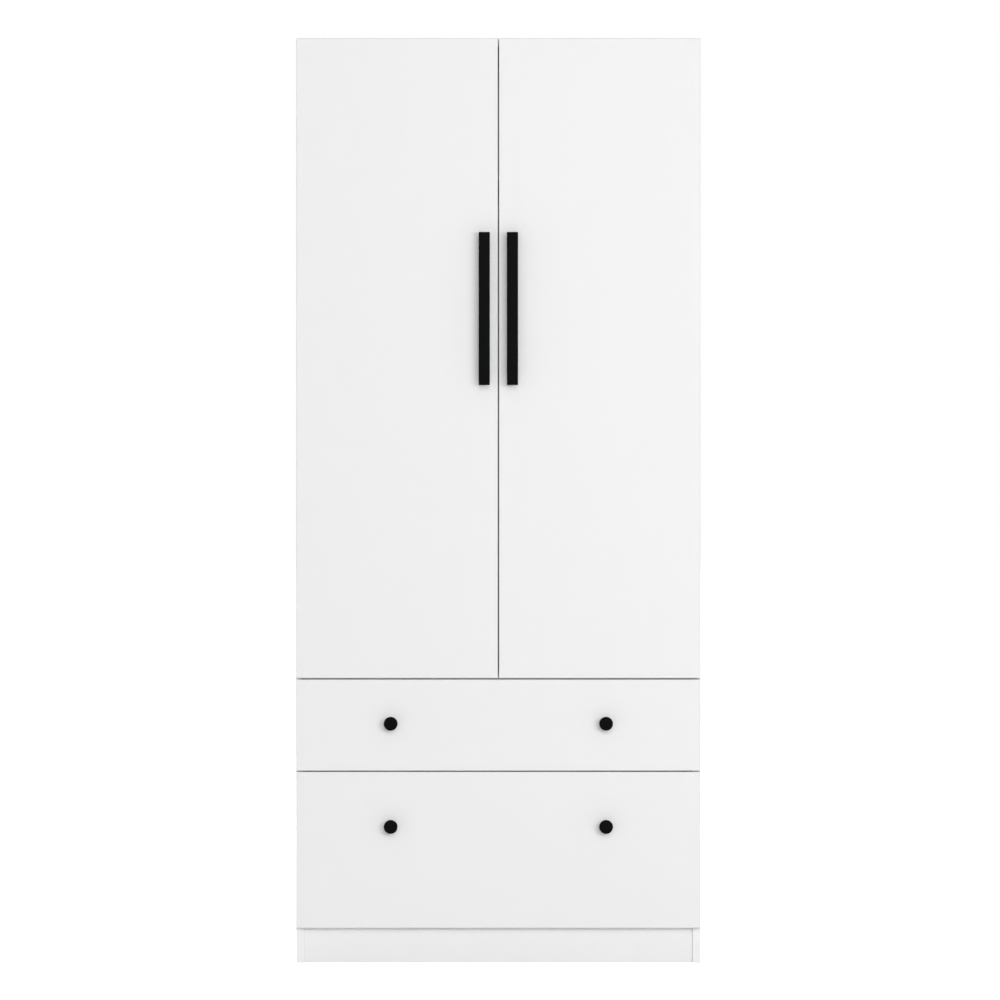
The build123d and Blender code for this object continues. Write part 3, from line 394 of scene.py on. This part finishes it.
def plated_steel(name, dark, light, smooth, rough, cloud_mm, streak=None):
    """Plated steel: stamped parts whose plating clouds and scatters the light a little.

    Smooth and rough are the ends of its roughness. Streak is the axis that rolling lines follow, where
    the part has them.
    """
    material, tree, where = new_material(name)
    stretch = [ROLLING_STRETCH if axis == streak else 1.0 for axis in AXES]
    along = add(tree, "ShaderNodeMapping", {"Vector": where, "Scale": tuple(stretch)})
    cloud = add(
        tree, "ShaderNodeTexNoise", {"Vector": where, "Scale": per_metre(cloud_mm), "Detail": 4.0}
    )
    lines = add(
        tree, "ShaderNodeTexNoise", {"Vector": along, "Scale": per_metre(ROLLING_LINE_MM), "Detail": 2.0}
    )
    tone = add(tree, "ShaderNodeMix", {"Factor": 0.5, 2: cloud, 3: lines}, data_type="FLOAT")
    colour = add(tree, "ShaderNodeValToRGB", {"Fac": tone}, [(CLOSE_LOW, dark), (CLOSE_HIGH, light)])
    gloss = add(
        tree,
        "ShaderNodeMapRange",
        {"Value": tone, "From Min": CLOSE_LOW, "From Max": CLOSE_HIGH, "To Min": smooth, "To Max": rough},
    )
    bump = add(tree, "ShaderNodeBump", {"Height": lines, "Strength": 0.25, "Distance": PLATING_RELIEF})
    shader = add(
        tree,
        "ShaderNodeBsdfPrincipled",
        {"Base Color": colour, "Metallic": 1.0, "Roughness": gloss, "Normal": bump},
    )
    add(tree, "ShaderNodeOutputMaterial", {"Surface": shader})
    return material


def moulded_abs():
    """Injection-moulded ABS: even white, a fine spark-eroded grain and a soft sheen."""
    material, tree, where = new_material("white_abs_plastic")
    grain = add(
        tree, "ShaderNodeTexNoise", {"Vector": where, "Scale": per_metre(MOULD_GRAIN_MM), "Detail": 3.0}
    )
    colour = add(
        tree, "ShaderNodeValToRGB", {"Fac": grain}, [(NOISE_LOW, "E6E5E1"), (NOISE_HIGH, "EEEDE9")]
    )
    gloss = add(
        tree,
        "ShaderNodeMapRange",
        {"Value": grain, "From Min": NOISE_LOW, "From Max": NOISE_HIGH, "To Min": 0.37, "To Max": 0.47},
    )
    bump = add(tree, "ShaderNodeBump", {"Height": grain, "Strength": 0.3, "Distance": MOULD_RELIEF})
    shader = add(
        tree,
        "ShaderNodeBsdfPrincipled",
        {"Base Color": colour, "Roughness": gloss, "IOR": 1.5, "Normal": bump},
    )
    add(tree, "ShaderNodeOutputMaterial", {"Surface": shader})
    return material


def beech():
    """Turned beech: pale wood with fine lengthwise flecks and dark end grain lines."""
    material, tree, where = new_material("beech_dowel")
    along = add(tree, "ShaderNodeMapping", {"Vector": where, "Scale": (WOOD_STRETCH, 1.0, 1.0)})
    grain = add(
        tree, "ShaderNodeTexNoise", {"Vector": along, "Scale": per_metre(WOOD_GRAIN_MM), "Detail": 4.0}
    )
    colour = add(
        tree,
        "ShaderNodeValToRGB",
        {"Fac": grain},
        [(NOISE_LOW, "B98D5F"), (0.55, "D8B489"), (0.75, "E6CBA5")],
    )
    bump = add(tree, "ShaderNodeBump", {"Height": grain, "Strength": 0.4, "Distance": WOOD_RELIEF})
    shader = add(
        tree,
        "ShaderNodeBsdfPrincipled",
        {"Base Color": colour, "Roughness": 0.7, "IOR": 1.5, "Normal": bump},
    )
    add(tree, "ShaderNodeOutputMaterial", {"Surface": shader})
    return material


def clear_silicone():
    """Cast silicone: a soft, slightly milky clear dome."""
    material, tree, where = new_material("clear_silicone")
    haze = add(
        tree, "ShaderNodeTexNoise", {"Vector": where, "Scale": per_metre(HAZE_MM), "Detail": 2.0}
    )
    gloss = add(tree, "ShaderNodeMapRange", {"Value": haze, "To Min": 0.15, "To Max": 0.3})
    colour = add(
        tree, "ShaderNodeValToRGB", {"Fac": haze}, [(NOISE_LOW, "E6E9EA"), (NOISE_HIGH, "F2F4F4")]
    )
    shader = add(
        tree,
        "ShaderNodeBsdfPrincipled",
        {"Base Color": colour, "Roughness": gloss, "IOR": 1.41, "Transmission Weight": 0.75},
    )
    add(tree, "ShaderNodeOutputMaterial", {"Surface": shader})
    return material


POWDER_COAT = powder_coat()
NICKEL = plated_steel(
    "nickel_plated_steel", dark="C8C4BB", light="D4D0C7", smooth=0.22, rough=0.30, cloud_mm=10.0
)
ZINC = plated_steel(
    "zinc_plated_steel", dark="A9AFB6", light="C6CBD0", smooth=0.28, rough=0.46, cloud_mm=9.0, streak="y"
)
CHROME = plated_steel(
    "chrome_plated_tube", dark="D6D7D9", light="E4E5E7", smooth=0.24, rough=0.30, cloud_mm=20.0, streak="x"
)
ABS = moulded_abs()
BEECH = beech()
SILICONE = clear_silicone()

for side in SIDES:
    paint(NICKEL, side + "_hinge_cup_pins", side + "_hinge_first_links", side + "_hinge_second_links")
for drawer in DRAWERS:
    paint(ZINC, drawer + "_inner_rails", drawer + "_middle_rails")
paint(NICKEL, "hinge_mounting_plates", "hinge_arms", "hinge_arm_pins")
paint(ZINC, "cam_bolts", "shelf_pins", "drawer_slide_outer_rails", "wall_brackets")
paint(ABS, "rod_sockets", "back_joining_strip")
paint(BEECH, "wooden_dowels")
paint(SILICONE, "door_bumpers")


# Small fittings that repeat: Geometry Nodes set one model at every place that the CAD solids give
MERGE = 0.01 * MM
END = 0.2 * MM
SMOOTH_BELOW = math.radians(35.0)
FLAT_BELOW = math.radians(0.5)
SCREW_TURN_DEGREES = 37.0
SCREW_SIZES = ("Head radius", "Head height", "Shank radius", "Shank length")
CAM_SIZES = ("Drum radius", "Drum height")

# A screw's head is drawn one unit in radius and in height. One slot of its cross is a little deeper than
# the other, so that no two cutting faces coincide.
HEAD_SIDES = 24
FLANGE_HEIGHT = 0.5
DOME_FOOT, DOME_CROWN = 0.88, 0.56
DOME_START = 0.4
SLOT_LENGTH, SLOT_WIDTH = 1.05, 0.24
SLOT_DEPTHS = (0.72, 0.69)
SHANK_SIDES = 12
SHANK_LAP = 0.01

# A cam drum is drawn one unit in radius and in height, and its slots differ in depth for the same reason
DRUM_SIDES = 40
DISH_LEVEL = 0.95
DISH_FLOOR, DISH_MOUTH = 0.78, 0.86
DISH_RISE = 0.1
POINTER_SIDES = 3
POINTER_RADIUS = 0.2
POINTER_RISE = 0.2
POINTER_OUT = 0.92
DRUM_SLOT_LENGTH, DRUM_SLOT_WIDTH = 0.9, 0.2
LONG_SLOT_HEIGHT, CROSS_SLOT_HEIGHT = 0.6, 0.56


def loose_parts(node):
    """The separate solids in a CAD node, each as its points and its faces."""
    form = bmesh.new()
    form.from_mesh(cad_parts[node].data)
    bmesh.ops.remove_doubles(form, verts=form.verts, dist=MERGE)
    form.verts.index_update()
    form.faces.index_update()
    seen = set()
    parts = []
    for first in form.verts:
        if first.index in seen:
            continue
        seen.add(first.index)
        island = [first]
        for vert in island:
            for edge in vert.link_edges:
                other = edge.other_vert(vert)
                if other.index not in seen:
                    seen.add(other.index)
                    island.append(other)
        places = {vert.index: number for number, vert in enumerate(island)}
        faces = {face.index: face for vert in island for face in vert.link_faces}
        rings = [[places[vert.index] for vert in face.verts] for face in faces.values()]
        parts.append(([vert.co.copy() for vert in island], rings))
    form.free()
    return parts


def corners(points):
    """Lowest and highest corner of some points."""
    low = Vector([min(point[axis] for point in points) for axis in range(3)])
    high = Vector([max(point[axis] for point in points) for axis in range(3)])
    return low, high


def reach_from_axis(points, centre, axis):
    """The greatest distance of some points from a line along one axis."""
    others = [other for other in range(3) if other != axis]
    return max(math.hypot(*(point[other] - centre[other] for other in others)) for point in points)


def screw_fit(points):
    """A CAD screw as its seat, the way its head faces, and its sizes."""
    low, high = corners(points)
    size = high - low
    axis = max(range(3), key=lambda place: size[place])
    centre = (low + high) / 2
    ends = {
        -1: [point for point in points if point[axis] < low[axis] + END],
        1: [point for point in points if point[axis] > high[axis] - END],
    }
    radii = {end: reach_from_axis(there, centre, axis) for end, there in ends.items()}
    facing = max(radii, key=radii.get)
    between = (radii[1] + radii[-1]) / 2
    head = [point[axis] for point in points if reach_from_axis([point], centre, axis) > between]
    height = max(head) - min(head)
    seat = centre.copy()
    seat[axis] = (high if facing > 0 else low)[axis] - facing * height
    outward = Vector()
    outward[axis] = facing
    return seat, outward, (radii[facing], height, radii[-facing], size[axis] - height)


def new_tree(name, sizes):
    """An empty Geometry Nodes tree with seats, named sizes and a finish as its inputs."""
    tree = bpy.data.node_groups.new(name, "GeometryNodeTree")
    face = tree.interface
    face.new_socket("Seats", in_out="INPUT", socket_type="NodeSocketGeometry")
    for size in sizes:
        face.new_socket(size, in_out="INPUT", socket_type="NodeSocketFloat")
    face.new_socket("Finish", in_out="INPUT", socket_type="NodeSocketMaterial")
    face.new_socket("Fittings", in_out="OUTPUT", socket_type="NodeSocketGeometry")
    return tree, add(tree, "NodeGroupInput").outputs


def set_at_seats(tree, given, model):
    """End a tree: the model at every seat, its Z axis facing out and its X axis along the given turn."""
    facing = add(tree, "GeometryNodeInputNamedAttribute", {"Name": "facing"}, data_type="FLOAT_VECTOR")
    turn = add(tree, "GeometryNodeInputNamedAttribute", {"Name": "turn"}, data_type="FLOAT_VECTOR")
    upright = add(tree, "FunctionNodeAlignRotationToVector", {"Vector": facing}, axis="Z")
    turned = add(
        tree,
        "FunctionNodeAlignRotationToVector",
        {"Rotation": upright, "Vector": turn},
        axis="X",
        pivot_axis="Z",
    )
    placed = add(
        tree,
        "GeometryNodeInstanceOnPoints",
        {"Points": given["Seats"], "Instance": model, "Rotation": turned},
    )
    real = add(tree, "GeometryNodeRealizeInstances", {"Geometry": placed})
    finished = add(tree, "GeometryNodeSetMaterial", {"Geometry": real, "Material": given["Finish"]})
    add(tree, "NodeGroupOutput", {"Fittings": finished})
    return tree


def screw_tree():
    """Low domed heads on a thin flange, with a cross recess; head and shank are each scaled to size."""
    tree, given = new_tree("cross_recess_screws", SCREW_SIZES)
    wide, thin = given["Head radius"], given["Shank radius"]
    head_size = add(tree, "ShaderNodeCombineXYZ", {"X": wide, "Y": wide, "Z": given["Head height"]})
    shank_size = add(tree, "ShaderNodeCombineXYZ", {"X": thin, "Y": thin, "Z": given["Shank length"]})
    flange = add(
        tree,
        "GeometryNodeMeshCylinder",
        {"Vertices": HEAD_SIDES, "Radius": 1.0, "Depth": FLANGE_HEIGHT},
    )
    flange_up = add(
        tree,
        "GeometryNodeTransform",
        {"Geometry": flange, "Translation": (0.0, 0.0, FLANGE_HEIGHT / 2)},
    )
    dome = add(
        tree,
        "GeometryNodeMeshCone",
        {
            "Vertices": HEAD_SIDES,
            "Radius Bottom": DOME_FOOT,
            "Radius Top": DOME_CROWN,
            "Depth": 1.0 - DOME_START,
        },
    )
    dome_up = add(
        tree, "GeometryNodeTransform", {"Geometry": dome, "Translation": (0.0, 0.0, DOME_START)}
    )
    plain = add(tree, "GeometryNodeMeshBoolean", {"Mesh 2": [flange_up, dome_up]}, operation="UNION")
    slots = []
    for spans, depth in zip(((SLOT_LENGTH, SLOT_WIDTH), (SLOT_WIDTH, SLOT_LENGTH)), SLOT_DEPTHS):
        bar = add(tree, "GeometryNodeMeshCube", {"Size": (*spans, 2 * depth)})
        slots.append(
            add(tree, "GeometryNodeTransform", {"Geometry": bar, "Translation": (0.0, 0.0, 1.0)})
        )
    slotted = add(
        tree, "GeometryNodeMeshBoolean", {"Mesh 1": plain, "Mesh 2": slots}, operation="DIFFERENCE"
    )
    head = add(tree, "GeometryNodeTransform", {"Geometry": slotted, "Scale": head_size})
    pin = add(
        tree, "GeometryNodeMeshCylinder", {"Vertices": SHANK_SIDES, "Radius": 1.0, "Depth": 1.0}
    )
    pin_down = add(
        tree, "GeometryNodeTransform", {"Geometry": pin, "Translation": (0.0, 0.0, SHANK_LAP - 0.5)}
    )
    shank = add(tree, "GeometryNodeTransform", {"Geometry": pin_down, "Scale": shank_size})
    whole = add(tree, "GeometryNodeMeshBoolean", {"Mesh 2": [head, shank]}, operation="UNION")
    return set_at_seats(tree, given, whole)


def cam_tree():
    """Die-cast cam drums: a raised rim, a dished face, a cross recess and a pointer towards the bolt."""
    tree, given = new_tree("cam_drums", CAM_SIZES)
    wide = given["Drum radius"]
    size = add(tree, "ShaderNodeCombineXYZ", {"X": wide, "Y": wide, "Z": given["Drum height"]})
    drum = add(tree, "GeometryNodeMeshCylinder", {"Vertices": DRUM_SIDES, "Radius": 1.0, "Depth": 1.0})
    drum_up = add(tree, "GeometryNodeTransform", {"Geometry": drum, "Translation": (0.0, 0.0, 0.5)})
    dish = add(
        tree,
        "GeometryNodeMeshCone",
        {
            "Vertices": DRUM_SIDES,
            "Radius Bottom": DISH_FLOOR,
            "Radius Top": DISH_MOUTH,
            "Depth": DISH_RISE,
        },
    )
    pointer = add(
        tree,
        "GeometryNodeMeshCone",
        {
            "Vertices": POINTER_SIDES,
            "Radius Bottom": POINTER_RADIUS,
            "Radius Top": POINTER_RADIUS,
            "Depth": POINTER_RISE,
        },
    )
    long_slot = add(
        tree, "GeometryNodeMeshCube", {"Size": (DRUM_SLOT_LENGTH, DRUM_SLOT_WIDTH, LONG_SLOT_HEIGHT)}
    )
    cross_slot = add(
        tree, "GeometryNodeMeshCube", {"Size": (DRUM_SLOT_WIDTH, DRUM_SLOT_LENGTH, CROSS_SLOT_HEIGHT)}
    )
    cutters = []
    for form, aside in ((dish, 0.0), (pointer, POINTER_OUT), (long_slot, 0.0), (cross_slot, 0.0)):
        place = (aside, 0.0, DISH_LEVEL)
        cutters.append(add(tree, "GeometryNodeTransform", {"Geometry": form, "Translation": place}))
    cut = add(
        tree, "GeometryNodeMeshBoolean", {"Mesh 1": drum_up, "Mesh 2": cutters}, operation="DIFFERENCE"
    )
    whole = add(tree, "GeometryNodeTransform", {"Geometry": cut, "Scale": size})
    return set_at_seats(tree, given, whole)


SCREWS = screw_tree()
CAMS = cam_tree()


def fittings(tree, seats, sizes, finish):
    """One plain mesh of a tree's model at seats given as (place, facing, turn)."""
    mesh = bpy.data.meshes.new("seats")
    mesh.from_pydata([place for place, facing, turn in seats], [], [])
    for name, which in (("facing", 1), ("turn", 2)):
        field = mesh.attributes.new(name, "FLOAT_VECTOR", "POINT")
        field.data.foreach_set("vector", [part for seat in seats for part in seat[which]])
    holder = bpy.data.objects.new("seats", mesh)
    bpy.context.scene.collection.objects.link(holder)
    nodes = holder.modifiers.new("fittings", "NODES")
    nodes.node_group = tree
    values = dict(sizes, Finish=finish)
    for socket in tree.interface.items_tree:
        if socket.in_out == "INPUT" and socket.name in values:
            nodes[socket.identifier] = values[socket.name]
    graph = bpy.context.evaluated_depsgraph_get()
    made = bpy.data.meshes.new_from_object(holder.evaluated_get(graph))
    # The seats bring an empty material slot, so the finish is made the only one
    made.materials.clear()
    made.materials.append(finish)
    bpy.data.objects.remove(holder)
    bpy.data.meshes.remove(mesh)
    return made


def piece(name, meshes, body, replaced=()):
    """One finished piece from plain meshes of one finish, on its body and free of sliver faces."""
    form = bmesh.new()
    for mesh in meshes:
        form.from_mesh(mesh)
    bmesh.ops.remove_doubles(form, verts=form.verts, dist=MERGE)
    bmesh.ops.dissolve_limit(form, angle_limit=FLAT_BELOW, verts=form.verts, edges=form.edges)
    bmesh.ops.triangulate(form, faces=form.faces)
    whole = meshes[0].copy()
    whole.name = name
    form.to_mesh(whole)
    form.free()
    whole.polygons.foreach_set("use_smooth", [True] * len(whole.polygons))
    whole.set_sharp_from_angle(angle=SMOOTH_BELOW)
    made = bpy.data.objects.new(name, whole)
    bpy.context.scene.collection.objects.link(made)
    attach(made, body)
    if replaced:
        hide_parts(*replaced)


def solids_mesh(parts, finish):
    """Some solids of a CAD node, joined up for smooth shading, as one plain mesh."""
    points = []
    rings = []
    for part_points, part_rings in parts:
        rings += [[len(points) + corner for corner in ring] for ring in part_rings]
        points += part_points
    mesh = bpy.data.meshes.new("solids")
    mesh.from_pydata(points, [], rings)
    mesh.materials.append(finish)
    return mesh


def turned_seat(seat, outward, number):
    """A seat whose cross recess is turned by its own amount, as driven screws are."""
    angle = math.radians(SCREW_TURN_DEGREES * number)
    across = outward.orthogonal().normalized()
    return seat, outward, across * math.cos(angle) + outward.cross(across) * math.sin(angle)


def screw_meshes(parts, finish):
    """Cross-recess screws in place of CAD screws, one mesh for each size."""
    groups = {}
    for number, (points, _) in enumerate(parts):
        seat, outward, sizes = screw_fit(points)
        kind = tuple(round(size / MM, 1) for size in sizes)
        groups.setdefault(kind, []).append(turned_seat(seat, outward, number))
    return [
        fittings(SCREWS, seats, {name: size * MM for name, size in zip(SCREW_SIZES, kind)}, finish)
        for kind, seats in groups.items()
    ]


def board_around(point, boards):
    """The lowest and highest corner of the board that a point lies in."""
    limits = [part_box(board) for board in boards]
    return next(
        (low, high)
        for low, high in limits
        if all(low[axis] < point[axis] < high[axis] for axis in range(3))
    )


def cam_mesh(parts, boards, finish):
    """Detailed cam drums in place of CAD ones of one size; each faces out of the board that it sits in."""
    seats = []
    for points, _ in parts:
        low, high = corners(points)
        size = high - low
        axis = min(range(3), key=lambda place: size[place])
        centre = (low + high) / 2
        board_low, board_high = board_around(centre, boards)
        middle = (board_low + board_high) / 2
        room = board_high - board_low
        outward = Vector()
        outward[axis] = math.copysign(1.0, centre[axis] - middle[axis])
        along = max(range(3), key=lambda place: room[place])
        towards = Vector()
        towards[along] = math.copysign(1.0, centre[along] - middle[along])
        seats.append((centre - outward * size[axis] / 2, outward, towards))
    return fittings(CAMS, seats, dict(zip(CAM_SIZES, (max(size) / 2, min(size)))), finish)


# Carcass and door fasteners
CAM_BOARDS = ("top_panel", "middle_panel", "bottom_panel", "front_plinth", "rear_plinth")
screws = screw_meshes(loose_parts("carcass_screws"), ZINC)
piece("carcass_cross_screws", screws, "carcass", ["carcass_screws"])
drums = cam_mesh(loose_parts("cam_locks"), CAM_BOARDS, ZINC)
piece("carcass_cam_drums", [drums], "carcass", ["cam_locks"])
for side in SIDES:
    for fixed in ("hinge_cup", "door_handle"):
        node = side + "_" + fixed + "_screws"
        screws = screw_meshes(loose_parts(node), ZINC)
        piece(node.replace("screws", "cross_screws"), screws, side + "_door", [node])

# Two screws on each hinge arm, for its depth and its sideways place
ARM_TOP = 13.2 * MM
ARM_SCREWS_BACK = (36.0 * MM, 57.0 * MM)
ARM_SCREW = dict(zip(SCREW_SIZES, (3.2 * MM, 1.3 * MM, 2.0 * MM, 6.0 * MM)))
EDGE_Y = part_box("left_side_panel")[0].y
INNER_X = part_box("right_side_panel")[0].x
arm_seats = []
for points, _ in loose_parts("hinge_arms"):
    low, high = corners(points)
    inboard = -AXES["x"] if low.x > 0 else AXES["x"]
    for back in ARM_SCREWS_BACK:
        seat = Vector(((ARM_TOP - INNER_X) * inboard.x, EDGE_Y + back, (low.z + high.z) / 2))
        arm_seats.append(turned_seat(seat, inboard, len(arm_seats)))
arm_screws = fittings(SCREWS, arm_seats, ARM_SCREW, NICKEL)
piece("hinge_arm_adjusting_screws", [arm_screws], "carcass")

# Drawer boxes: cams hold the front, screws hold the back and the slide rails. Their proportions tell the
# solids apart: a drum is nearly as tall as it is wide, and a screw's head is much wider than its shank.
DRUM_STOUT = 1.5
HEAD_OVER_SHANK = 1.5
for drawer in DRAWERS:
    node = drawer + "_knob_screws"
    screws = screw_meshes(loose_parts(node), ZINC)
    piece(drawer + "_knob_cross_screws", screws, drawer, [node])
    node = drawer + "_fasteners"
    drums, screws, bolts = [], [], []
    for part in loose_parts(node):
        low, high = corners(part[0])
        head_radius, _, shank_radius, _ = screw_fit(part[0])[2]
        if max(high - low) < DRUM_STOUT * min(high - low):
            drums.append(part)
        elif head_radius > HEAD_OVER_SHANK * shank_radius:
            screws.append(part)
        else:
            bolts.append(part)
    box_sides = [drawer + "_" + side + "_side" for side in SIDES]
    meshes = [cam_mesh(drums, box_sides, ZINC), solids_mesh(bolts, ZINC)] + screw_meshes(screws, ZINC)
    piece(drawer + "_box_fasteners", meshes, drawer, [node])

# Round forms that show, with their facets shaded smooth
ROUND_FORMS = [("hanging_rod", "carcass", "chrome_tube", CHROME)]
for side in SIDES:
    ROUND_FORMS.append((side + "_door_handle", side + "_door", "black_metal", POWDER_COAT))
    ROUND_FORMS.append((side + "_hinge_cups", side + "_door", "nickel_steel", NICKEL))
for drawer in DRAWERS:
    ROUND_FORMS.append((drawer + "_knobs", drawer, "black_metal", POWDER_COAT))
for node, body, slot, finish in ROUND_FORMS:
    piece(node + "_smooth", [solids_mesh(loose_parts(node), finish)], body, [node])


# Studio: a pale floor, white surroundings, a key light from the right, a broad front light and two behind
# The view is this wide at the front edges of the side panels, where its centre lies
VIEW_WIDTH = 1.9794
VIEW_DISTANCE = 10.0
VIEW_CENTRE = Vector((3.2 * MM, EDGE_Y, 0.9157))
SENSOR_WIDTH = 36.0
# The even light of the surroundings, and what is added to it along each axis
SURROUND = 0.15
SURROUND_ALONG = Vector((0.4, 0.9, 0.4))
FLOOR_LIFT = 0.7
FLOOR_RADIUS = 60.0
FLOOR_SIDES = 96
PAPER_FIBRE_MM = 4.0


def studio_world():
    """White to the camera; as light, strongest along the axes and most so from front and back."""
    world = bpy.data.worlds.new("white_studio")
    world.use_nodes = True
    tree = world.node_tree
    tree.nodes.clear()
    ray = add(tree, "ShaderNodeTexCoord").outputs["Generated"]
    squared = add(tree, "ShaderNodeVectorMath", {0: ray, 1: ray}, operation="MULTIPLY")
    narrow = add(tree, "ShaderNodeVectorMath", {0: squared, 1: squared}, operation="MULTIPLY")
    along = add(
        tree, "ShaderNodeVectorMath", {0: narrow, 1: SURROUND_ALONG}, operation="DOT_PRODUCT"
    ).outputs["Value"]
    strength = add(tree, "ShaderNodeMath", {0: along, 1: SURROUND}, operation="ADD")
    lit = add(tree, "ShaderNodeBackground", {"Color": linear("FFFFFF"), "Strength": strength})
    seen = add(tree, "ShaderNodeBackground", {"Color": linear("FFFFFF"), "Strength": 1.0})
    rays = add(tree, "ShaderNodeLightPath")
    choice = add(
        tree, "ShaderNodeMixShader", {"Fac": rays.outputs["Is Camera Ray"], 1: lit, 2: seen}
    )
    add(tree, "ShaderNodeOutputWorld", {"Surface": choice})
    bpy.context.scene.world = world


def studio_floor():
    """White paper: matt, faintly fibrous, and lifted to white for the camera alone."""
    material, tree, where = new_material("white_paper_floor")
    fibre = add(
        tree, "ShaderNodeTexNoise", {"Vector": where, "Scale": per_metre(PAPER_FIBRE_MM), "Detail": 2.0}
    )
    colour = add(
        tree, "ShaderNodeValToRGB", {"Fac": fibre}, [(NOISE_LOW, "F7F7F7"), (NOISE_HIGH, "FBFBFB")]
    )
    rays = add(tree, "ShaderNodeLightPath")
    lift = add(
        tree,
        "ShaderNodeMath",
        {0: rays.outputs["Is Camera Ray"], 1: FLOOR_LIFT},
        operation="MULTIPLY",
    )
    shader = add(
        tree,
        "ShaderNodeBsdfPrincipled",
        {
            "Base Color": colour,
            "Roughness": 0.9,
            "Specular IOR Level": 0.0,
            "Emission Color": linear("FFFFFF"),
            "Emission Strength": lift,
        },
    )
    add(tree, "ShaderNodeOutputMaterial", {"Surface": shader})
    mesh = bpy.data.meshes.new("studio_floor")
    form = bmesh.new()
    bmesh.ops.create_circle(form, cap_ends=True, segments=FLOOR_SIDES, radius=FLOOR_RADIUS)
    form.to_mesh(mesh)
    form.free()
    mesh.materials.append(material)
    floor = bpy.data.objects.new("studio_floor", mesh)
    bpy.context.scene.collection.objects.link(floor)
    floor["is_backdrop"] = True


def soft_light(name, azimuth, elevation, distance, width, height, watts):
    """A soft box aimed at the middle of the wardrobe; azimuth counts from the front to the right."""
    light = bpy.data.lights.new(name, "AREA")
    light.shape = "RECTANGLE"
    light.size = width
    light.size_y = height
    light.energy = watts
    around = math.radians(azimuth)
    above = math.radians(elevation)
    back = Vector(
        (
            math.sin(around) * math.cos(above),
            -math.cos(around) * math.cos(above),
            math.sin(above),
        )
    )
    lamp = bpy.data.objects.new(name, light)
    lamp.location = VIEW_CENTRE + back * distance
    lamp.rotation_euler = (-back).to_track_quat("-Z", "Y").to_euler()
    bpy.context.scene.collection.objects.link(lamp)


def studio_camera():
    """A level camera straight in front, so that the upright edges stay upright."""
    camera = bpy.data.cameras.new("front_camera")
    camera.sensor_width = SENSOR_WIDTH
    camera.lens = SENSOR_WIDTH * VIEW_DISTANCE / VIEW_WIDTH
    seat = bpy.data.objects.new("front_camera", camera)
    seat.location = VIEW_CENTRE - AXES["y"] * VIEW_DISTANCE
    seat.rotation_euler = (math.radians(90.0), 0.0, 0.0)
    bpy.context.scene.collection.objects.link(seat)
    bpy.context.scene.camera = seat


studio_world()
studio_floor()
soft_light("key_soft_box", azimuth=25.0, elevation=6.0, distance=6.0, width=2.8, height=0.9, watts=84.0)
soft_light(
    "front_soft_box", azimuth=4.0, elevation=19.0, distance=30.0, width=7.7, height=12.9, watts=1430.0
)
soft_light(
    "back_right_soft_box", azimuth=150.0, elevation=25.0, distance=8.0, width=3.0, height=3.0, watts=140.0
)
soft_light(
    "back_left_soft_box", azimuth=-118.0, elevation=20.0, distance=8.0, width=3.0, height=3.0, watts=140.0
)
studio_camera()
bpy.context.scene.view_settings.view_transform = "Standard"

low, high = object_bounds()
